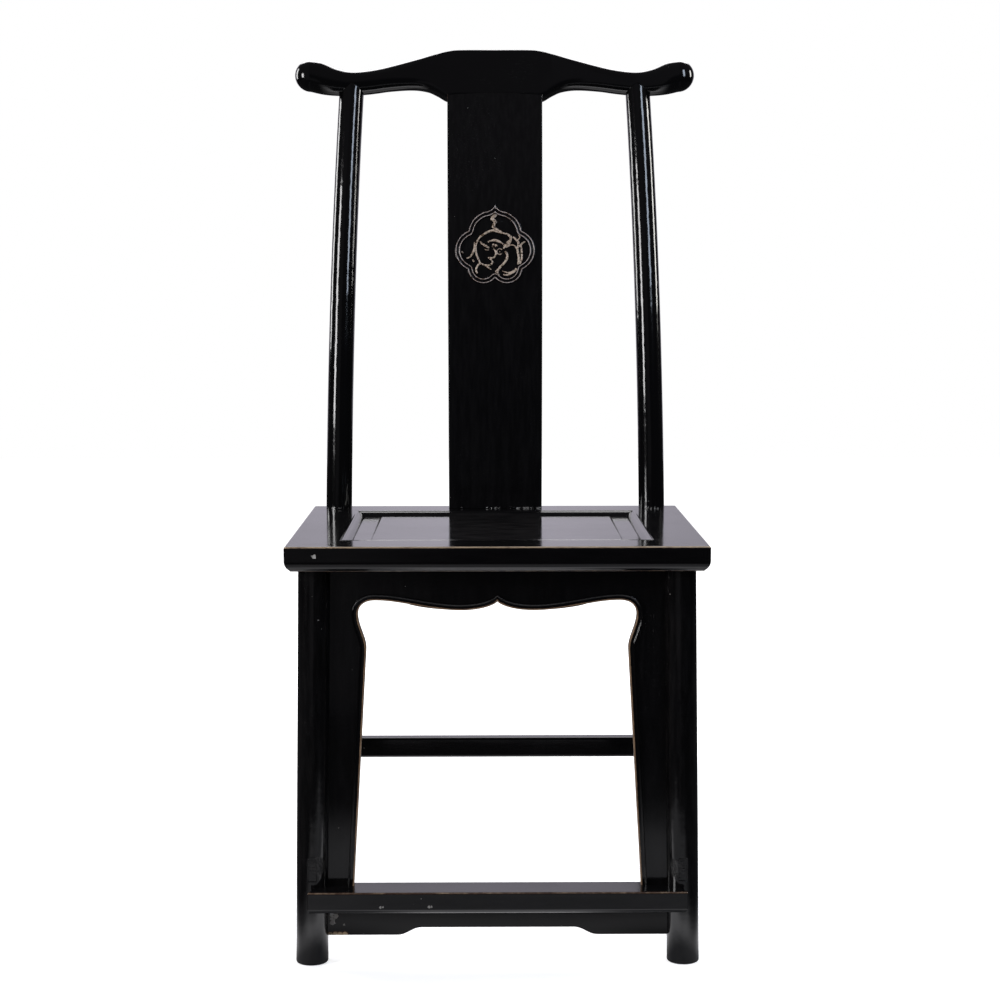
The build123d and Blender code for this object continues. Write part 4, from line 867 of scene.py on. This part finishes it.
def arc_points(start, middle, end, count):
    """Points along the circle through three points."""
    (ax, ay), (bx, by), (cx, cy) = start, middle, end
    d = 2.0 * (ax * (by - cy) + bx * (cy - ay) + cx * (ay - by))
    a2, b2, c2 = ax * ax + ay * ay, bx * bx + by * by, cx * cx + cy * cy
    ux = (a2 * (by - cy) + b2 * (cy - ay) + c2 * (ay - by)) / d
    uy = (a2 * (cx - bx) + b2 * (ax - cx) + c2 * (bx - ax)) / d
    turns = [math.atan2(y - uy, x - ux) for x, y in (start, middle, end)]
    full = 2.0 * math.pi
    forward = (turns[1] - turns[0]) % full < (turns[2] - turns[0]) % full
    sweep = (turns[2] - turns[0]) % full if forward else -((turns[0] - turns[2]) % full)
    radius = math.hypot(ax - ux, ay - uy)
    angles = [turns[0] + sweep * k / count for k in range(count)]
    return [(ux + radius * math.cos(angle), uy + radius * math.sin(angle)) for angle in angles]


class CHAIR_OT_medallion(bpy.types.Operator):
    """Carve the cartouche's rim and the coiled dragon on the splat"""

    bl_idname = "chair.medallion"
    bl_label = "Carve the Medallion"

    rim_sink, stroke_sink = 0.0035, 0.0012      # how deep the rim and the strokes reach below their ground

    def execute(self, context):
        look = context.scene.chair_medallion
        right = [point for first in (0, 2, 4, 6) for point in arc_points(*CARTOUCHE[first: first + 3], 22)]
        right = np.array(right + [CARTOUCHE[-1]]) * MILLIMETRE
        # The rim's middle line lies half its width inside the outline, and meets at a mitre in the two cusps.
        along = np.gradient(right, axis=0)
        along /= np.linalg.norm(along, axis=1)[:, None]
        half = look.rim_width * 0.48
        inner = right + np.column_stack([along[:, 1], -along[:, 0]]) * half
        inner = inner[inner[:, 0] > 0.0006]
        tip_reach = half / abs(along[2, 0])
        tip = (0.0, right[0, 1] - tip_reach, tip_reach / half)
        foot = (0.0, right[-1, 1] + half, 1.03)
        side = [(x, y, 1.0) for x, y in inner]
        middle = [tip, *side, foot, *[(-x, y, scale) for x, y, scale in reversed(side)]]
        # The rim's worn crowns are a pale grey: partly bare wood, partly a painted highlight along the rim's
        # lines.
        rim_finish = carved_lacquer(
            "lacquer_rim", wave=0.2, grain=0.5, wood=(0.47, 0.40, 0.375), under=(0.15, 0.085, 0.045))
        dragon_finish = carved_lacquer(
            "lacquer_dragon", wave=0.2, grain=1.0, wood=(0.60, 0.48, 0.38), under=(0.17, 0.095, 0.045))

        mesh = moulded("cartouche_rim", [middle], True, (
            (0.0, 0.0), (0.05, 0.55), (0.16, 1.0), (0.30, 0.66), (0.5, 0.6), (0.70, 0.66), (0.84, 0.95),
            (0.95, 0.5), (1.0, 0.0),
        ), Width=look.rim_width, Height=look.rim_height, Sink=self.rim_sink, Steps=72, Material=rim_finish)
        crown = numbers_of(mesh, "crown")
        points = mesh_points(mesh)
        points[:, 2] = np.where(crown > 0.0, crown * look.rim_height, -self.rim_sink)
        add_number(mesh, "worn", np.clip((crown - 0.76) / 0.12, 0.0, 1.0) * 0.92)
        move_points(mesh, on_splat(points))
        face_outward(mesh)
        mesh.shade_smooth()
        new_piece("cartouche_rim", mesh)

        strokes = [smooth_path(np.array(stroke) * MILLIMETRE, step=0.0006) for stroke in DRAGON]
        mesh = moulded("dragon_strokes", strokes, False, (
            (0.0, 0.0), (0.08, 0.5), (0.25, 0.86), (0.5, 1.0), (0.75, 0.86), (0.92, 0.5), (1.0, 0.0),
        ), Width=2.0, Height=2.0, Sink=0.9, Steps=20, Material=dragon_finish)
        points = mesh_points(mesh)
        domed = look.relief * np.tanh(1.3 * points[:, 2] / look.relief)
        points[:, 2] = np.where(points[:, 2] > 0.0, domed, -self.stroke_sink)
        move_points(mesh, points)
        source = linked("dragon", mesh)
        remesh = source.modifiers.new("Fuse", "REMESH")
        remesh.mode = "VOXEL"
        remesh.voxel_size = look.grain
        remesh.use_smooth_shade = True
        soften = source.modifiers.new("Soften", "SMOOTH")
        soften.factor = 0.5
        soften.iterations = 2
        mesh = baked(source, "coiled_dragon")
        points = mesh_points(mesh)
        height = points[:, 2] / look.relief
        add_number(mesh, "worn", np.clip((height - 0.44) / 0.22, 0.0, 1.0) * 0.86)
        points[:, 2] -= look.ground
        move_points(mesh, on_splat(points))
        mesh.materials.clear()
        mesh.materials.append(dragon_finish)
        mesh.shade_smooth()
        new_piece("coiled_dragon", mesh)
        return {"FINISHED"}


class CHAIR_OT_opening_bead(bpy.types.Operator):
    """Run the rounded bead along the scalloped front opening"""

    bl_idname = "chair.opening_bead"
    bl_label = "Run the Opening Bead"

    # Where the curves of the opening's right half meet, in metres, down to the foot rail.
    high, neck_top, neck_end, foot_end = (0.145, 0.4423), (0.1662, 0.425), (0.1565, 0.383), (0.173, 0.095)
    foot_steps = 80
    overlap = 0.0004                # how far the bead stands into the opening
    sink = 0.0085                   # how deep its inner side covers the boards' edge

    def opening(self):
        """The opening's outline, from foot to foot."""
        right, down = (1.0, 0.0), (0.0, -1.0)
        top = smooth_path(
            [CUSP, (0.01596, 0.43330), (0.038, 0.4303), (0.10755, 0.43822), self.high],
            start=(1.0, -0.75), end=right,
        )
        shoulder = smooth_path([self.high, (0.1609, 0.43746), self.neck_top], start=right, end=down)
        neck = smooth_path([self.neck_top, (0.16135, 0.404), self.neck_end], start=down, end=(0.02, -1.0))
        foot = np.linspace(self.neck_end, self.foot_end, self.foot_steps + 1)
        half = np.concatenate([top[:-1], shoulder[:-1], neck[:-1], foot])
        return np.concatenate([(half * (-1.0, 1.0))[:0:-1], half])

    def execute(self, context):
        look = context.scene.chair_bead
        path = self.opening()
        before = np.concatenate([path[:1], path[:-1]])
        after = np.concatenate([path[1:], path[-1:]])
        along = (after - before) / np.linalg.norm(after - before, axis=1)[:, None]
        outward = np.column_stack([-along[:, 1], along[:, 0]])
        middle = path + outward * (look.width / 2.0 - self.overlap)
        middle[len(path) // 2] = (CUSP[0], CUSP[1] + look.width * 0.62)
        material = carved_lacquer("lacquer_bead", wave=0.3, wood=(0.31, 0.20, 0.12))
        mesh = moulded("opening_bead", [middle], False, (
            (0.0, 0.0), (0.05, 0.55), (0.15, 1.0), (0.26, 0.66), (0.36, 0.50), (0.60, 0.52), (0.86, 0.56),
            (0.96, 0.50), (1.0, 0.25),
        ), Width=look.width, Height=look.height, Sink=self.sink, Steps=look.steps, Material=material)
        inner_side = np.clip((numbers_of(mesh, "across") - 0.46) / 0.12, 0.0, 1.0)
        add_number(mesh, "worn", inner_side * 0.84 * (numbers_of(mesh, "crown") > 0.0))
        move_points(mesh, on_front_board(mesh_points(mesh)))
        face_outward(mesh)
        mesh.shade_smooth()
        new_piece("opening_bead", mesh)
        return {"FINISHED"}


class CHAIR_OT_lacquer(bpy.types.Operator):
    """Lacquer the frame, with the wear that each piece gets"""

    bl_idname = "chair.lacquer"
    bl_label = "Lacquer the Frame"

    def execute(self, context):
        front = SEAT_FRONT_Y
        rail, side = (0.12, 1.0, 1.0), (1.0, 0.12, 1.0)
        splat_foot = ({"Y": POST_Y - SPLAT_FRONT, "Z": SEAT_TOP}, 0.0027, "X", -0.066, 0.066)
        post_feet = [
            ({"Y": POST_Y - POST_FOOT_FRONT, "Z": SEAT_TOP}, 0.0036, "X", low, low + 0.034)
            for low in (-0.231, 0.197)
        ]
        coat(
            "seat_front", ["seat_rail_front"], wear=0.22, along=rail, wave=0.2, haze=0.03,
            lines=[
                ({"Y": front + 0.0006, "Z": SEAT_TOP - 0.0006}, 0.0020, 0.85),
                ({"Y": front + 0.0072, "Z": SEAT_LOWER_ARRIS_Z}, 0.0016, 0.62),
            ],
            chips=[(-0.2145, front, 0.4985, 0.0024, 1.0), (-0.2168, front, 0.4993, 0.0014, 0.6)],
        )
        coat(
            "seat_rear", ["seat_rail_rear"],
            wear=0.22, along=rail, wave=0.2, haze=0.10, dust=[splat_foot, *post_feet])
        coat("seat_side", ["seat_rail_left", "seat_rail_right"], wear=0.22, along=side, wave=0.2, haze=0.10)
        coat(
            "panel", ["seat_panel", "seat_batten_left", "seat_batten_right"],
            wear=0.2, along=rail, wave=0.2, brush=0.04, haze=0.5)
        # The carver's tool marks in the medallion's ground.
        carved = [
            (*on_splat([(u, v, -0.002)])[0], radius, 0.35)
            for u, v, radius in (
                (-0.034, -0.004, 0.014), (-0.017, 0.028, 0.015),
                (0.019, -0.033, 0.014), (0.016, 0.031, 0.013),
            )
        ]
        coat(
            "splat", ["back_splat"],
            wear=0.0, wave=0.3, brush=0.02, haze=0.06, dust=[splat_foot], pitted=carved,
            lines=[({"X": x}, 0.0018, 0.5) for x in (-0.0655, 0.0655)],
        )
        coat("posts", ["rear_leg_left", "rear_leg_right"], wear=0.2, wave=1.4, brush=0.006, dust=post_feet)
        leg = FRONT_LEG_FACE_Y
        tenons = [(-0.2150, leg, 0.1215, 0.015, 1.0), (0.2150, leg, 0.1190, 0.015, 1.0)]
        coat(
            "front_legs", ["front_leg_left", "front_leg_right"], wear=0.0, wave=0.9, brush=0.006, haze=0.10,
            chips=[
                (-0.2186, leg, 0.4488, 0.0012, 0.35), (-0.2116, leg, 0.4203, 0.0013, 0.4),
                (-0.2080, leg + 0.002, 0.4096, 0.0009, 0.25), (0.2043, leg + 0.0045, 0.4500, 0.0012, 0.35),
            ],
            pitted=tenons,
        )
        coat(
            "front_boards", [name for name in nodes if name.startswith("front_apron")],
            wear=0.0, wave=0.4, brush=0.03, haze=0.06, ease=False)
        face = FOOT_RAIL_FRONT_Y
        coat(
            "foot_rail", ["foot_rail"], wear=0.2, along=rail, wave=0.3, haze=0.1, ior=1.46,
            lines=[({"Y": face + 0.0006, "Z": FOOT_RAIL_ARRIS_Z}, 0.0019, 0.60)],
            chips=[
                (-0.1400, face, 0.0775, 0.0019, 0.55), (-0.1368, face, 0.0777, 0.0015, 0.5),
                (-0.0822, face, 0.0778, 0.0019, 0.6), (-0.0790, face, 0.0780, 0.0014, 0.5),
            ],
        )
        apron = FOOT_APRON_FRONT_Y
        coat(
            "foot_apron", ["foot_rail_apron"], wear=0.3, along=rail, wave=0.4, ior=1.24,
            lines=[
                ({"X": x, "Z": FOOT_APRON_END_Z}, 0.0062, 0.95) for x in (-0.2025, -0.1965, -0.1905, -0.1845)
            ],
            chips=[
                (-0.2005, apron, 0.0575, 0.0052, 0.7), (-0.1955, apron, 0.0560, 0.0040, 0.6),
                (-0.1990, apron, 0.0490, 0.0036, 0.6), (-0.1850, apron, 0.0465, 0.0016, 0.45),
            ],
        )
        coat("rear", ["rear_stretcher", "rear_apron"], wear=0.25, along=rail, wave=0.4, ior=1.36)
        coat(
            "side", [name for name in nodes if name.startswith(("side_stretcher", "side_apron"))],
            wear=0.0, along=side, wave=0.4, pitted=tenons)
        coat("spandrel", [name for name in nodes if "spandrel" in name], wear=0.25, wave=0.4)
        return {"FINISHED"}


class CHAIR_OT_pegs(bpy.types.Operator):
    """Finish the bamboo pegs"""

    bl_idname = "chair.pegs"
    bl_label = "Finish the Pegs"

    def execute(self, context):
        finish(["crest_pegs", "seat_frame_pegs"], bamboo())
        return {"FINISHED"}


OPERATORS = (
    CHAIR_OT_stage, CHAIR_OT_crest, CHAIR_OT_medallion, CHAIR_OT_opening_bead, CHAIR_OT_lacquer,
    CHAIR_OT_pegs,
)
GROUPS = {
    "chair_lacquer": LacquerSettings, "chair_crest": CrestSettings, "chair_medallion": MedallionSettings,
    "chair_bead": BeadSettings, "chair_stage": StageSettings,
}


class CHAIR_PT_finish(bpy.types.Panel):
    """The chair's sizes, colours and steps"""

    bl_idname = "CHAIR_PT_finish"
    bl_label = "Yoke-Back Chair"
    bl_space_type = "VIEW_3D"
    bl_region_type = "UI"
    bl_category = "Chair"

    def draw(self, context):
        for operator in OPERATORS:
            self.layout.operator(operator.bl_idname)
        for name, group in GROUPS.items():
            box = self.layout.box()
            for setting in group.__annotations__:
                box.prop(getattr(context.scene, name), setting)


CLASSES = (*GROUPS.values(), *OPERATORS, CHAIR_PT_finish)


def register():
    for kind in CLASSES:
        bpy.utils.register_class(kind)
    for name, group in GROUPS.items():
        setattr(bpy.types.Scene, name, PointerProperty(type=group))


def unregister():
    for name in GROUPS:
        delattr(bpy.types.Scene, name)
    for kind in reversed(CLASSES):
        bpy.utils.unregister_class(kind)


def main():
    register()
    for operator in OPERATORS:
        family, step = operator.bl_idname.split(".")
        getattr(getattr(bpy.ops, family), step)()


if __name__ == "__main__":
    main()
